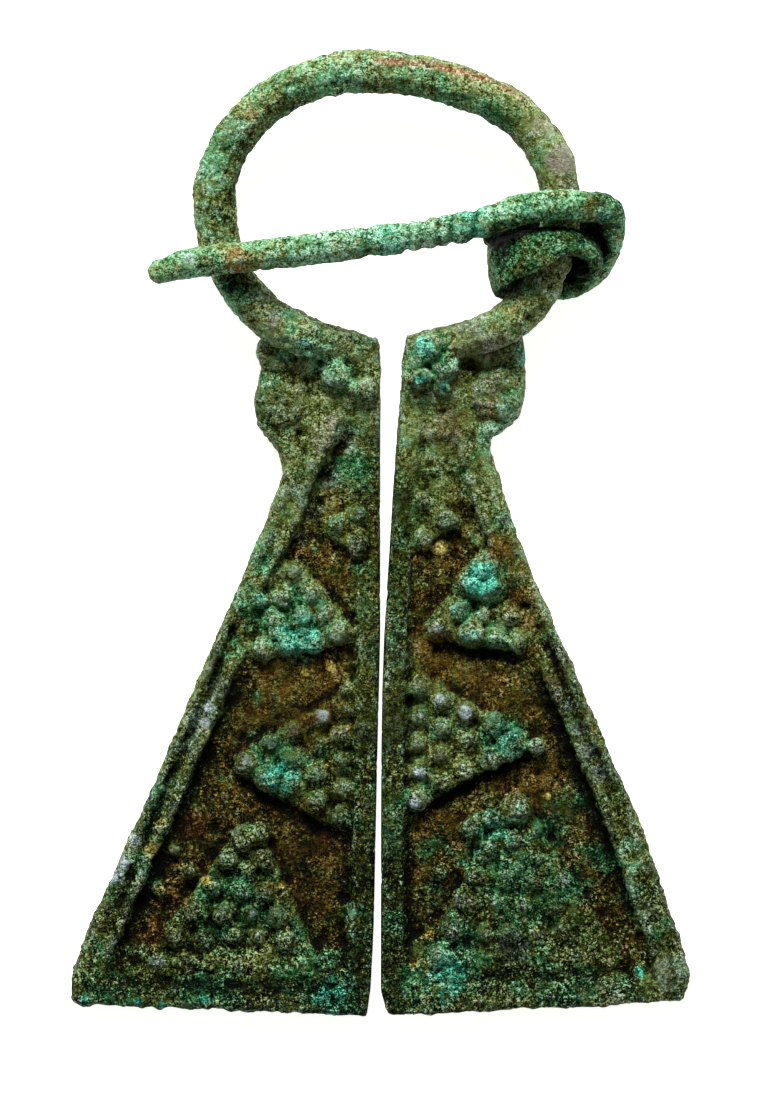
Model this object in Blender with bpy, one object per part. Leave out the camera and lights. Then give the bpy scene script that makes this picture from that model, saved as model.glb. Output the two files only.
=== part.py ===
"""Penannular brooch: a cast hoop with two triangular terminals, and a pin wound round the hoop.

The brooch lies on the backs of its terminals, front up (+Z), hoop away from the reader (+Y).
The origin is under the middle of its outline, on the surface that it lies on. Metres.
"""

import math

import bmesh
import bpy
from mathutils import Matrix, Vector

# Hoop: a round bar bent to an open ring, measured along the bar's centre line
HOOP_WIDTH = 0.0252
HOOP_HEIGHT = 0.0197
HOOP_OFFSET = 0.0005
BAR_THICKNESS = 0.0031
FOOT_RUN = 0.0050
FOOT_THICKNESS = 0.0022
FOOT_SINK = 0.0008

# Terminals: flat backs, a raised block with a lobe at the top, and a sunk field inside three rims
TERMINAL_LENGTH = 0.0487
TERMINAL_WIDTH = 0.0226
FIELD_THICKNESS = 0.0012
BLOCK_THICKNESS = 0.0026
RIM_THICKNESS = 0.0024
INNER_RIM_WIDTH = 0.0019
OUTER_RIM_WIDTH = 0.0027
FOOT_RIM_WIDTH = 0.0021
LEAST_FIELD_WIDTH = 0.0003
RIM_ROUNDING = 0.0003
GROOVE_DEPTH = 0.0003

# Granules: small domes cast in triangular groups, each group on a low pad
GRANULE_DIAMETER = 0.0018
GRANULE_SPACING = 0.0020
LARGE_GRANULE_DIAMETER = 0.0023
LOBE_DIAMETER = 0.0038
LOBE_RISE = 0.0006
PAD_HEIGHT = 0.0005
PAD_MARGIN = 0.0003

# Pin: a wire with a plain shank and a flattened end that is wound round the hoop's right side.
# The overhang is how far the tip reaches past the hoop's left side.
PIN_THICKNESS = 0.0023
PIN_OVERHANG = 0.0031
PIN_REST_GAP = 0.0003
COIL_CLEARANCE = 0.0003
TABLE_GAP = 0.0002
NOTCH_DEPTH = 0.00010
NOTCH_WIDTH = 0.0004

# Sides of the round sections and of each granule
BAR_SIDES = 10
PIN_SIDES = 10
GRANULE_SIDES = 7
LOBE_SIDES = 16

# How far a pad reaches into the metal below it
OVERLAP = 0.0003

# The feet of the hoop are at this height in the outline's own frame
FOOT_LINE = (TERMINAL_LENGTH - HOOP_HEIGHT - BAR_THICKNESS / 2) / 2

# Centre line of the bar from the left foot round to the right one: shares of the hoop's width
# from its middle, and of its height above the foot line
HOOP_SHAPE = (
    (-0.079, -0.040), (-0.171, 0.000), (-0.261, 0.042), (-0.342, 0.098), (-0.422, 0.210),
    (-0.476, 0.349), (-0.497, 0.504), (-0.479, 0.651), (-0.414, 0.803), (-0.296, 0.926),
    (-0.140, 0.993), (0.036, 0.992), (0.203, 0.947), (0.346, 0.864), (0.446, 0.740),
    (0.493, 0.577), (0.491, 0.404), (0.442, 0.218), (0.365, 0.099), (0.278, 0.038),
    (0.180, 0.006), (0.120, -0.008),
)

# Heights on the hoop's right side, in shares of its height: the stretch of bar inside the coil,
# and the place where the shank crosses the bar
COIL_TOP = 0.55
COIL_FOOT = 0.20
SHANK_CROSSING = 0.50

# Outlines of the terminals: shares of the length down from the foot line, and of the width out
# from the brooch's middle line
LEFT_OUTLINE = {
    "inner": ((-0.06, 0.014), (0.00, 0.004), (0.02, -0.003), (0.44, -0.003), (0.60, 0.006),
              (0.87, 0.018), (0.95, 0.027), (0.985, 0.032), (1.00, 0.044)),
    "outer": ((-0.060, 0.285), (-0.022, 0.365), (0.006, 0.407), (0.022, 0.391), (0.042, 0.372),
              (0.060, 0.397), (0.085, 0.404), (0.122, 0.394), (0.142, 0.356), (0.156, 0.333),
              (0.180, 0.314), (0.200, 0.315), (0.261, 0.366), (0.350, 0.449), (0.484, 0.571),
              (0.610, 0.685), (0.735, 0.802), (0.839, 0.912), (0.931, 0.990), (0.965, 1.003),
              (0.982, 0.985)),
    "top": -0.008,
    "top_slant": 0.046,
    "field_top": 0.110,
    "inner_rim_top": 0.300,
    "foot_slant": -0.018,
}
RIGHT_OUTLINE = {
    "inner": ((-0.06, 0.120), (-0.02, 0.086), (0.00, 0.076), (0.07, 0.064), (0.14, 0.051),
              (0.25, 0.035), (0.36, 0.020), (0.47, 0.006), (0.64, 0.001), (0.97, 0.000),
              (0.99, 0.014), (1.00, 0.028)),
    "outer": ((-0.060, 0.330), (-0.030, 0.450), (-0.010, 0.455), (0.028, 0.458), (0.049, 0.468),
              (0.098, 0.458), (0.118, 0.423), (0.128, 0.365), (0.139, 0.346), (0.159, 0.356),
              (0.191, 0.378), (0.252, 0.417), (0.341, 0.490), (0.431, 0.574), (0.520, 0.660),
              (0.616, 0.746), (0.699, 0.824), (0.788, 0.892), (0.860, 0.940), (0.896, 0.976),
              (0.939, 1.000), (0.966, 0.996), (0.979, 0.968)),
    "top": -0.014,
    "top_slant": 0.034,
    "field_top": 0.060,
    "inner_rim_top": 0.000,
    "foot_slant": -0.021,
}

# Shares of the length at which a terminal is cut to follow its outline
STATIONS = (0.018, 0.034, 0.048, 0.064, 0.080, 0.096, 0.112, 0.126, 0.140, 0.156, 0.176,
            0.196, 0.261, 0.345, 0.430, 0.520, 0.615, 0.700, 0.790, 0.860, 0.900)

# Share of the length over which the cuts fan out from the slanted top, and how much wider the
# field gets for each step down from its top
FAN_SHARE = 0.17
FIELD_SPREAD = 0.66

# Shares of the length over which the block slopes down to the field and to the outer rim, and
# over which the inner rim comes up
BLOCK_SLOPE = 0.03
RIM_SLOPE = 0.06
INNER_RIM_SLOPE = 0.12

# Front of the outer rim: shares of its width, and of the depth of the groove along it
OUTER_RIM_PROFILE = ((0.12, 0.0), (0.35, 0.0), (0.52, 1.0), (0.70, 0.2))

# Granule groups: the apex as in an outline, which way it points, the rows, the tilt of the rows in
# degrees, the spacing and the size as shares of the usual ones
LEFT_GROUPS = (
    (0.274, 0.142, "out", 2, 0, 0.95, 0.80),
    (0.338, 0.282, "up", 4, -10, 0.93, 0.94),
    (0.625, 0.427, "out", 5, 0, 1.02, 1.00),
    (0.733, 0.417, "up", 6, 7, 1.04, 1.00),
)
RIGHT_GROUPS = (
    (0.260, 0.214, "out", 2, 0, 1.10, 0.80),
    (0.331, 0.340, "up", 4, 8, 0.95, 0.96),
    (0.592, 0.425, "out", 5, 0, 0.98, 0.96),
    (0.695, 0.442, "up", 7, -1, 1.03, 0.96),
)

# Middle of each lobe's round boss: place as in an outline
LEFT_LOBE = (0.082, 0.316)
RIGHT_LOBE = (0.072, 0.380)

# Single large granules on the blocks: place as in an outline, size as a share of the largest
LEFT_LARGE = ((0.043, 0.139, 1.00), (0.0715, 0.051, 0.83))
RIGHT_LARGE = ((0.006, 0.149, 0.87), (0.033, 0.212, 0.83), (0.050, 0.127, 0.57),
               (0.067, 0.202, 0.48))

# Shank of the pin from the crossing to the tip: shares of its length along and down. Turned
# grooves narrow it at a few places, and it tapers by this share just before the tip.
SHANK_SHAPE = ((0.091, 0.012), (0.186, 0.042), (0.326, 0.071), (0.483, 0.093), (0.640, 0.112),
               (0.873, 0.138), (0.975, 0.163))
NOTCH_PLACES = (0.208, 0.267, 0.331, 0.373, 0.466)
TIP_TAPER = 0.25
TAPER_START = 0.86

# The wound end, from the crossing on: degrees round the bar (0 front, 90 right, 180 back), then in
# wire thicknesses the drop along the bar, the slack over the clear bore, the breadth and the
# thickness of the section, and in degrees how far the section's lower edge leans in to the bar
COIL_SHAPE = (
    (0, -1.10, 0.00, 1.00, 1.00, 0),
    (26, -1.22, 0.04, 1.00, 1.00, 0),
    (56, -1.30, 0.14, 1.00, 1.08, 0),
    (80, -0.95, 0.06, 1.05, 1.19, 0),
    (103, -0.19, 0.12, 1.05, 1.20, 0),
    (118, 0.44, 0.20, 1.05, 1.05, 0),
    (138, 0.98, 0.20, 1.10, 0.68, 0),
    (180, 1.22, 0.00, 1.15, 0.44, 0),
    (215, 1.26, 0.15, 1.45, 0.44, 4),
    (245, 1.24, 0.36, 1.75, 0.48, 12),
    (270, 1.12, 0.45, 1.80, 0.48, 17),
    (300, 0.88, 0.35, 1.70, 0.52, 12),
    (330, 0.50, 0.16, 1.45, 0.52, 5),
    (360, 0.07, 0.00, 1.12, 0.52, 0),
    (390, -0.08, 0.14, 0.90, 0.48, 0),
    (415, 0.02, 0.31, 0.82, 0.44, 0),
    (432, 0.33, 0.40, 0.74, 0.42, 0),
    (446, 0.74, 0.40, 0.60, 0.40, 0),
)


def clear_scene():
    for obj in list(bpy.data.objects):
        bpy.data.objects.remove(obj)


def metal(name, colour, roughness):
    material = bpy.data.materials.new(name)
    material.use_nodes = True
    shader = material.node_tree.nodes["Principled BSDF"]
    shader.inputs["Base Color"].default_value = (*colour, 1.0)
    shader.inputs["Metallic"].default_value = 0.3
    shader.inputs["Roughness"].default_value = roughness
    return material


def smoothstep(value):
    value = min(max(value, 0.0), 1.0)
    return value * value * (3 - 2 * value)


def mix(first, second, share):
    return first + (second - first) * share


def along_table(table, place):
    """The value that a table of (place, value) rows gives between its rows."""
    for (before, low), (after, high) in zip(table, table[1:]):
        if place <= after:
            return mix(low, high, max(0.0, (place - before) / (after - before)))
    return table[-1][1]


def smooth_curve(points, steps):
    """A Catmull-Rom curve through points of any number of coordinates."""
    ends = [points[0]] + list(points) + [points[-1]]
    curve = []
    for a, b, c, d in zip(ends, ends[1:], ends[2:], ends[3:]):
        for step in range(steps):
            t = step / steps
            curve.append(tuple(
                0.5 * (2 * q + (r - p) * t + (2 * p - 5 * q + 4 * r - s) * t * t
                       + (3 * q - p - 3 * r + s) * t ** 3)
                for p, q, r, s in zip(a, b, c, d)
            ))
    curve.append(tuple(points[-1]))
    return curve


def skin(bm, rings):
    """A closed body through rings of equally many points, capped at both ends."""
    loops = [[bm.verts.new(point) for point in ring] for ring in rings]
    for first, second in zip(loops, loops[1:]):
        for i in range(len(first)):
            j = (i + 1) % len(first)
            bm.faces.new((first[i], first[j], second[j], second[i]))
    bm.faces.new(loops[0])
    bm.faces.new(loops[-1])


def object_from(name, bm, material=None, smooth_angle=None):
    bmesh.ops.recalc_face_normals(bm, faces=bm.faces)
    mesh = bpy.data.meshes.new(name)
    bm.to_mesh(mesh)
    bm.free()
    if material:
        mesh.materials.append(material)
    if smooth_angle:
        mesh.shade_smooth()
        mesh.set_sharp_from_angle(angle=math.radians(smooth_angle))
    obj = bpy.data.objects.new(name, mesh)
    bpy.context.scene.collection.objects.link(obj)
    return obj


def unite(target, tool):
    """Join a tool's solid to the target, and keep the tool only as a guide."""
    modifier = target.modifiers.new(tool.name, "BOOLEAN")
    modifier.operation = "UNION"
    modifier.solver = "EXACT"
    modifier.object = tool
    tool.hide_render = True
    tool.display_type = "WIRE"


# Hoop

def hoop_line():
    """The bar's centre line from the left foot to the right one, seen from the front."""
    return [
        Vector((HOOP_OFFSET + u * HOOP_WIDTH, FOOT_LINE + v * HOOP_HEIGHT))
        for u, v in smooth_curve(HOOP_SHAPE, 2)
    ]


def bar_point(line, share):
    """Where the bar's right side passes a share of the hoop's height."""
    height = FOOT_LINE + share * HOOP_HEIGHT
    right = line[len(line) // 2:]
    for before, after in zip(right, right[1:]):
        if before.y >= height > after.y:
            return before.lerp(after, (before.y - height) / (before.y - after.y))
    return right[-1]


def add_hoop(bm, line, lift):
    """The bar at its height above the table, with thinner feet that sink into the blocks."""
    run = [0.0]
    for before, after in zip(line, line[1:]):
        run.append(run[-1] + (after - before).length)
    path = []
    for point, distance in zip(line, run):
        rise = smoothstep(min(distance, run[-1] - distance) / FOOT_RUN)
        height = mix(BLOCK_THICKNESS - FOOT_SINK, lift, rise)
        radius = mix(FOOT_THICKNESS, BAR_THICKNESS, rise) / 2
        path.append((Vector((point.x, point.y, height)), radius))
    rings = []
    for i, (point, radius) in enumerate(path):
        before = path[max(i - 1, 0)][0]
        after = path[min(i + 1, len(path) - 1)][0]
        ahead = (after - before).normalized()
        across = ahead.cross(Vector((0, 0, 1))).normalized()
        up = across.cross(ahead)
        rings.append([
            point + radius * (math.cos(turn) * across + math.sin(turn) * up)
            for turn in (2 * math.pi * k / BAR_SIDES for k in range(BAR_SIDES))
        ])
    skin(bm, rings)


# Terminals

def terminal_point(side, down, across):
    """A place on a terminal from shares of its length and width."""
    return Vector((side * across * TERMINAL_WIDTH, FOOT_LINE - down * TERMINAL_LENGTH))


def cut_line(outline, side, down):
    """The ends of one cut across a terminal, slanted near the block and near the foot."""
    top_slant = outline["top_slant"] * (1 - smoothstep(down / FAN_SHARE))
    foot_slant = outline["foot_slant"] * smoothstep((down - 0.8) / 0.2)
    outer_down = down - top_slant + foot_slant
    inner = terminal_point(side, down, along_table(outline["inner"], down))
    outer = terminal_point(side, outer_down, along_table(outline["outer"], outer_down))
    return inner, outer


def field_floor(outline, down):
    """Front height of a terminal between its rims: block at the top, then the sunk field."""
    drop = smoothstep((down - outline["field_top"]) / BLOCK_SLOPE + 0.7)
    return mix(BLOCK_THICKNESS, FIELD_THICKNESS, drop)


def cross_section(outline, down, width, foot):
    """Points (distance out, height) over the front of one cut, from the inner edge to the outer.

    foot is 0 in the field and 1 on the foot rim, where the field is as high as the rims.
    """
    floor = mix(field_floor(outline, down), RIM_THICKNESS, foot)
    blockness = 1 - smoothstep((down - outline["field_top"]) / RIM_SLOPE)
    crest = mix(RIM_THICKNESS, BLOCK_THICKNESS, blockness)
    rim_rise = smoothstep((down - outline["inner_rim_top"]) / INNER_RIM_SLOPE)
    inner_crest = mix(floor + PAD_HEIGHT / 2, crest, max(rim_rise, blockness, foot))
    room = width - INNER_RIM_WIDTH - OUTER_RIM_WIDTH
    opening = FIELD_SPREAD * (down - outline["field_top"]) * TERMINAL_LENGTH
    field = max(min(room, opening), LEAST_FIELD_WIDTH)
    inner_foot = INNER_RIM_WIDTH * min(1.0, width / (2 * INNER_RIM_WIDTH))
    outer_foot = inner_foot + field
    rim = width - outer_foot
    edge = RIM_ROUNDING
    return [
        (0.0, inner_crest - edge),
        (edge, inner_crest),
        (inner_foot - edge, inner_crest),
        (inner_foot, mix(floor, inner_crest, 0.3)),
        (inner_foot + field * 0.2, floor),
        (inner_foot + field * 0.8, floor),
        (outer_foot, mix(floor, crest, 0.3)),
        *((outer_foot + rim * share, crest - GROOVE_DEPTH * depth)
          for share, depth in OUTER_RIM_PROFILE),
        (width - edge, crest - GROOVE_DEPTH * 0.5),
        (width, crest - GROOVE_DEPTH - edge * 1.5),
    ]


def terminal_cuts(top):
    """Shares of the length for every cut, with how far each is up on the foot rim."""
    foot = FOOT_RIM_WIDTH / TERMINAL_LENGTH
    rounding = RIM_ROUNDING / TERMINAL_LENGTH
    cuts = [(top, 0.0), (top + rounding, 0.0)]
    cuts += [(down, 0.0) for down in STATIONS if down < 1 - foot - 2 * rounding]
    cuts.append((1 - foot - rounding, 0.0))
    cuts.append((1 - foot + rounding, 1.0))
    cuts.append((1 - rounding, 1.0))
    cuts.append((1.0, 1.0))
    return cuts


def add_terminal(bm, outline, side):
    rings = []
    cuts = terminal_cuts(outline["top"])
    for down, foot in cuts:
        inner, outer = cut_line(outline, side, down)
        width = (outer - inner).length
        chamfer = RIM_ROUNDING if (down, foot) in (cuts[0], cuts[-1]) else 0.0
        front = [
            (inner.lerp(outer, distance / width), height - chamfer)
            for distance, height in cross_section(outline, down, width, foot)
        ]
        ring = [(inner.x, inner.y, 0.0)]
        ring += [(place.x, place.y, height) for place, height in front]
        ring.append((outer.x, outer.y, 0.0))
        rings.append(ring)
    skin(bm, rings)


# Granules

def group_places(group, side):
    """Centres and corner centres of the granules in one triangular group."""
    down, across, points, rows, tilt, spacing_share, size_share = group
    apex = terminal_point(side, down, across)
    spacing = GRANULE_SPACING * spacing_share
    inward = Vector((-side, 0)) if points == "out" else Vector((0, -1))
    inward = Matrix.Rotation(math.radians(-tilt), 2) @ inward
    sideways = Vector((-inward.y, inward.x))
    row_step = spacing * math.sqrt(3) / 2
    places = []
    for row in range(rows):
        for i in range(row + 1):
            places.append(apex + inward * row * row_step + sideways * (i - row / 2) * spacing)
    corners = (places[0], places[-rows], places[-1])
    return places, corners


def add_granule(bm, place, base, radius):
    """A dome that starts a little inside the metal below it."""
    rings = []
    for rise in (-25, 28, 62):
        level = base + radius * math.sin(math.radians(rise)) * 0.9
        spread = radius * math.cos(math.radians(rise))
        rings.append([
            (place.x + spread * math.cos(turn), place.y + spread * math.sin(turn), level)
            for turn in (2 * math.pi * (k + 0.5) / GRANULE_SIDES for k in range(GRANULE_SIDES))
        ])
    skin(bm, rings)


def add_pad(bm, corners, base, height, margin):
    """A low three-sided pad with sloping sides under one group."""
    middle = sum(corners, Vector((0, 0))) / 3
    rings = []
    for level, spread in ((base - OVERLAP, margin + PAD_MARGIN), (base + height, margin)):
        ring = []
        for corner in corners:
            outward = (corner - middle).normalized()
            along = Vector((-outward.y, outward.x))
            for turn in (-1, 1):
                place = corner + outward * spread + along * spread * turn * 0.6
                ring.append((place.x, place.y, level))
        rings.append(ring)
    skin(bm, rings)


def add_lobe(bm, place):
    """The low round boss on the lobe beside a block."""
    rings = []
    for spread, rise in ((1.0, -0.5), (0.92, 0.35), (0.65, 0.8), (0.3, 1.0)):
        radius = LOBE_DIAMETER / 2 * spread
        level = BLOCK_THICKNESS + LOBE_RISE * rise
        rings.append([
            (place.x + radius * math.cos(turn), place.y + radius * math.sin(turn), level)
            for turn in (2 * math.pi * k / LOBE_SIDES for k in range(LOBE_SIDES))
        ])
    skin(bm, rings)


def add_granules(pads, domes, outline, side, groups, large):
    for group in groups:
        places, corners = group_places(group, side)
        radius = GRANULE_DIAMETER * group[6] / 2
        base = field_floor(outline, group[0])
        add_pad(pads, corners, base, PAD_HEIGHT, radius)
        for place in places:
            add_granule(domes, place, base + PAD_HEIGHT, radius)
    for down, across, share in large:
        place = terminal_point(side, down, across)
        add_granule(domes, place, BLOCK_THICKNESS, LARGE_GRANULE_DIAMETER * share / 2)


# Body

def build_body(line, lift):
    material = metal("cast bronze under dark green patina", (0.060, 0.082, 0.050), 0.7)
    sides = (
        (LEFT_OUTLINE, -1, LEFT_GROUPS, LEFT_LARGE, LEFT_LOBE),
        (RIGHT_OUTLINE, 1, RIGHT_GROUPS, RIGHT_LARGE, RIGHT_LOBE),
    )
    plates = bmesh.new()
    pads = bmesh.new()
    domes = bmesh.new()
    for outline, side, groups, large, lobe in sides:
        add_terminal(plates, outline, side)
        add_granules(pads, domes, outline, side, groups, large)
        add_lobe(pads, terminal_point(side, *lobe))
    hoop = bmesh.new()
    add_hoop(hoop, line, lift)
    body = object_from("brooch_body", plates, material, smooth_angle=50)
    for name, tool in (("hoop_guide", hoop), ("pads_guide", pads), ("granules_guide", domes)):
        unite(body, object_from(name, tool, material, smooth_angle=50))
    return body


# Pin

def coil_axis(line):
    """The hinge axis seen from the front: its middle, its direction, and the bar's stray from it.

    The axis is the chord of the bar inside the coil, moved out by half of the bar's bow, so that
    the curved bar strays from it by as little as it can.
    """
    top = bar_point(line, COIL_TOP)
    foot = bar_point(line, COIL_FOOT)
    down = (foot - top).normalized()
    right = Vector((-down.y, down.x))
    bow = max(
        (bar_point(line, mix(COIL_TOP, COIL_FOOT, k / 20)) - top).dot(right) for k in range(21)
    )
    return top.lerp(foot, 0.5) + right * bow / 2, down, bow / 2


def hinge_frame(middle, down, lift):
    """Frame of the coil: origin on the hinge axis, X right, Y front, Z down along the bar."""
    right = (-down.y, down.x, 0)
    frame = Matrix((right, (0, 0, 1), (down.x, down.y, 0))).transposed().to_4x4()
    frame.translation = (middle.x, middle.y, lift)
    return frame


def shank_stations(line, frame, start_height):
    """Rows (place in the coil's frame, half breadth, half thickness, lean) from the tip on.

    The shank runs from the coil's height down to rest on the left side of the hoop.
    """
    crossing = bar_point(line, SHANK_CROSSING)
    to_left_bar = crossing.x - min(point.x for point in line)
    length = to_left_bar + BAR_THICKNESS / 2 + PIN_OVERHANG
    rest_height = BAR_THICKNESS / 2 + PIN_REST_GAP + PIN_THICKNESS / 2
    to_coil = frame.inverted()
    stations = []
    for along, down in smooth_curve(((0.0, 0.0),) + SHANK_SHAPE, 6)[3:]:
        height = mix(start_height, rest_height, along * length / to_left_bar)
        world = Vector((crossing.x, crossing.y, frame.translation.z))
        world += Vector((-along * length, -down * length, height))
        grooves = sum(
            math.exp(-((along - place) * length / NOTCH_WIDTH) ** 2) for place in NOTCH_PLACES
        )
        radius = PIN_THICKNESS / 2 - NOTCH_DEPTH * grooves
        radius *= 1 - TIP_TAPER * smoothstep((along - TAPER_START) / (1 - TAPER_START))
        stations.append((to_coil @ world, radius, radius, 0.0))
    tip, radius, thickness, lean = stations[-1]
    ahead = (tip - stations[-2][0]).normalized()
    for reach, share in ((0.45, 0.80), (0.75, 0.40)):
        stations.append((tip + ahead * radius * reach, radius * share, radius * share, lean))
    return stations[::-1]


def coil_stations(bore):
    """The same rows for the wound end, from the crossing on."""
    rows = []
    for degrees, drop, slack, breadth, thickness, lean in smooth_curve(COIL_SHAPE, 3):
        turn = math.radians(degrees)
        out = bore + PIN_THICKNESS * (slack + thickness / 2)
        place = Vector((out * math.sin(turn), out * math.cos(turn), drop * PIN_THICKNESS))
        half = PIN_THICKNESS / 2
        rows.append((place, breadth * half, thickness * half, math.radians(lean)))
    end, breadth, thickness, lean = rows[-1]
    ahead = (end - rows[-2][0]).normalized()
    rows.append((end + ahead * thickness * 0.6, breadth * 0.7, thickness * 0.6, lean))
    return rows


def add_wire(bm, stations):
    """Skin a wire whose section is broad along the bar and thin away from it."""
    rings = []
    for i, (place, breadth, thickness, lean) in enumerate(stations):
        before = stations[max(i - 1, 0)][0]
        after = stations[min(i + 1, len(stations) - 1)][0]
        ahead = (after - before).normalized()
        outward = Vector((place.x, place.y, 0.0)).normalized()
        if place.x < 0 and i < len(stations) // 2:
            outward = Vector((0.0, 1.0, 0.0))
        outward = (outward - ahead * outward.dot(ahead)).normalized()
        outward = Matrix.Rotation(lean, 3, ahead) @ outward
        across = ahead.cross(outward)
        rings.append([
            place + breadth * math.cos(turn) * across + thickness * math.sin(turn) * outward
            for turn in (2 * math.pi * k / PIN_SIDES for k in range(PIN_SIDES))
        ])
    skin(bm, rings)


def bar_lift(bore):
    """Height of the bar's centre line that keeps the coil just off the table."""
    depth = max(half - place.y for place, breadth, half, lean in coil_stations(bore))
    return depth + TABLE_GAP


def build_pin(line, frame, bore):
    material = metal("wrought bronze wire under pale green patina", (0.13, 0.24, 0.17), 0.75)
    stations = shank_stations(line, frame, bore + PIN_THICKNESS / 2) + coil_stations(bore)
    wire = bmesh.new()
    add_wire(wire, stations)
    pin = object_from("pin", wire, material, smooth_angle=60)
    pin.matrix_world = frame
    return pin


clear_scene()
bar_line = hoop_line()
axis_middle, axis_down, stray = coil_axis(bar_line)
coil_bore = BAR_THICKNESS / 2 + stray + COIL_CLEARANCE
bar_height = bar_lift(coil_bore)
build_body(bar_line, bar_height)
build_pin(bar_line, hinge_frame(axis_middle, axis_down, bar_height), coil_bore)
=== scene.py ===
# %% [markdown]
# # A penannular brooch with triangular terminals
# The real brooch is a copper alloy casting about 70 mm long: an open hoop whose two ends spread
# into long triangles with groups of small balls, called granules, and a wire pin wound round the
# hoop. Long burial has turned its skin to green and brown corrosion. This lesson takes the exact
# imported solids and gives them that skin: an even fine mesh, crusts and pits that are real shape,
# and two patina materials. Places and sizes are in mm, seen from the front.

import math

import bmesh
import bpy
import numpy as np
from mathutils import Matrix, Vector, noise


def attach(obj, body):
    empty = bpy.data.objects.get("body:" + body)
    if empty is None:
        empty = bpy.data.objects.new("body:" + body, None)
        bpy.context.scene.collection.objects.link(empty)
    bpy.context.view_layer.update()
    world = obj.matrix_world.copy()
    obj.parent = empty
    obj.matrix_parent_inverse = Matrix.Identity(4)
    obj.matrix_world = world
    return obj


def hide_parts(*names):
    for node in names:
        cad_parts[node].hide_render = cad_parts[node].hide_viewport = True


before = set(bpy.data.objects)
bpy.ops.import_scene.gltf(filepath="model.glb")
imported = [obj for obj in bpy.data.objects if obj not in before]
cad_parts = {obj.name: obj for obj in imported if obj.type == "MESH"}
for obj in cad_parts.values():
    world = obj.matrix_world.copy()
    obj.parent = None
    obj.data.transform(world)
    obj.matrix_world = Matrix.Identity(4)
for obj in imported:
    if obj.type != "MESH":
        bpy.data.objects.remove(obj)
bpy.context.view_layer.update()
MM = 0.001

# %% [markdown]
# ## The photographer's table
# The brooch lies on white card and the camera looks straight down on it, with the hoop at the top.
# A long lens keeps the two terminals free of perspective. The picture is taller than it is wide,
# so the sensor's size belongs to the height of the view.

# %% Camera
VIEW_CENTRE = (0.25, -1.16)
VIEW_HEIGHT = 79.75
FRONT_HEIGHT = 2.4
SENSOR = 36
LENS = 150


def add_object(name, data):
    """A new object in the scene, made of a camera, a lamp or a mesh."""
    thing = bpy.data.objects.new(name, data)
    bpy.context.scene.collection.objects.link(thing)
    return thing


camera_data = bpy.data.cameras.new("copy stand camera")
camera_data.sensor_width = SENSOR
camera_data.lens = LENS
camera = add_object("copy_stand_camera", camera_data)
bpy.context.scene.camera = camera
camera_height = FRONT_HEIGHT + VIEW_HEIGHT * LENS / SENSOR
camera.location = (VIEW_CENTRE[0] * MM, VIEW_CENTRE[1] * MM, camera_height * MM)
print("camera height in mm", round(camera_height))

# %% [markdown]
# The light is one soft box, well beyond the hoop and rather low, so that it throws a dark line
# along the lower side of every ridge and granule. White walls give a weak even light from all
# round, which keeps those lines from going quite black. The standard view keeps the colours as
# they are lit, without a film curve.

# %% Soft box and room light
SOFT_BOX_PLACE = (-0.045, 0.352, 0.276)
SOFT_BOX_SIDE = 0.16
SOFT_BOX_POWER = 3.45
ROOM_LIGHT = 0.26

lamp = bpy.data.lights.new("soft_box_beyond_hoop", "AREA")
lamp.size = SOFT_BOX_SIDE
lamp.energy = SOFT_BOX_POWER
soft_box = add_object("soft_box_beyond_hoop", lamp)
soft_box.location = SOFT_BOX_PLACE
soft_box.rotation_euler = Vector(SOFT_BOX_PLACE).to_track_quat("Z", "Y").to_euler()

room = bpy.data.worlds.new("white room")
room.use_nodes = True
room.node_tree.nodes["Background"].inputs["Color"].default_value = (1, 1, 1, 1)
room.node_tree.nodes["Background"].inputs["Strength"].default_value = ROOM_LIGHT
bpy.context.scene.world = room
bpy.context.scene.view_settings.view_transform = "Standard"
print("soft box", round(Vector(SOFT_BOX_PLACE).length / MM), "mm from the brooch")

# %% [markdown]
# The card is matt paper on a light table. Its own weak glow burns it out to white, so the brooch's
# shadow hardly shows. One square is enough for it, and it isn't part of the brooch.

# %% The card
CARD_WHITE = "#f6f6f2"
CARD_ROUGHNESS = 0.9
CARD_GLOW_COLOUR = (1, 1, 0.98, 1)
CARD_GLOW = 0.83
HALF_CARD = 0.6


def srgb(code):
    """A colour written as sRGB hex, as linear values."""
    shares = [int(code[i:i + 2], 16) / 255 for i in (1, 3, 5)]
    return tuple(c / 12.92 if c <= 0.04045 else ((c + 0.055) / 1.055) ** 2.4 for c in shares)


card_paint = bpy.data.materials.new("matt white card on a light table")
card_paint.use_nodes = True
card_shader = card_paint.node_tree.nodes["Principled BSDF"]
card_shader.inputs["Base Color"].default_value = (*srgb(CARD_WHITE), 1)
card_shader.inputs["Roughness"].default_value = CARD_ROUGHNESS
card_shader.inputs["Emission Color"].default_value = CARD_GLOW_COLOUR
card_shader.inputs["Emission Strength"].default_value = CARD_GLOW
card_mesh = bpy.data.meshes.new("card")
card_mesh.from_pydata(
    [(x * HALF_CARD, y * HALF_CARD, 0) for x, y in ((-1, -1), (1, -1), (1, 1), (-1, 1))],
    [], [(0, 1, 2, 3)],
)
card_mesh.materials.append(card_paint)
card = add_object("card", card_mesh)
print("card", 2 * HALF_CARD, "m wide")

# %% [markdown]
# ## Granules
# Each terminal carries four triangles of granules on low pads, and a few larger ones at its top.
# The solid has them in even rows. On the real brooch corrosion has left no two alike, and on the
# right foot they have almost gone, so the solid's domes are pressed down to their pads and a ball
# is set for every real granule. A row is x, y and radius, and a large granule's row has its height
# as well.

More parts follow.
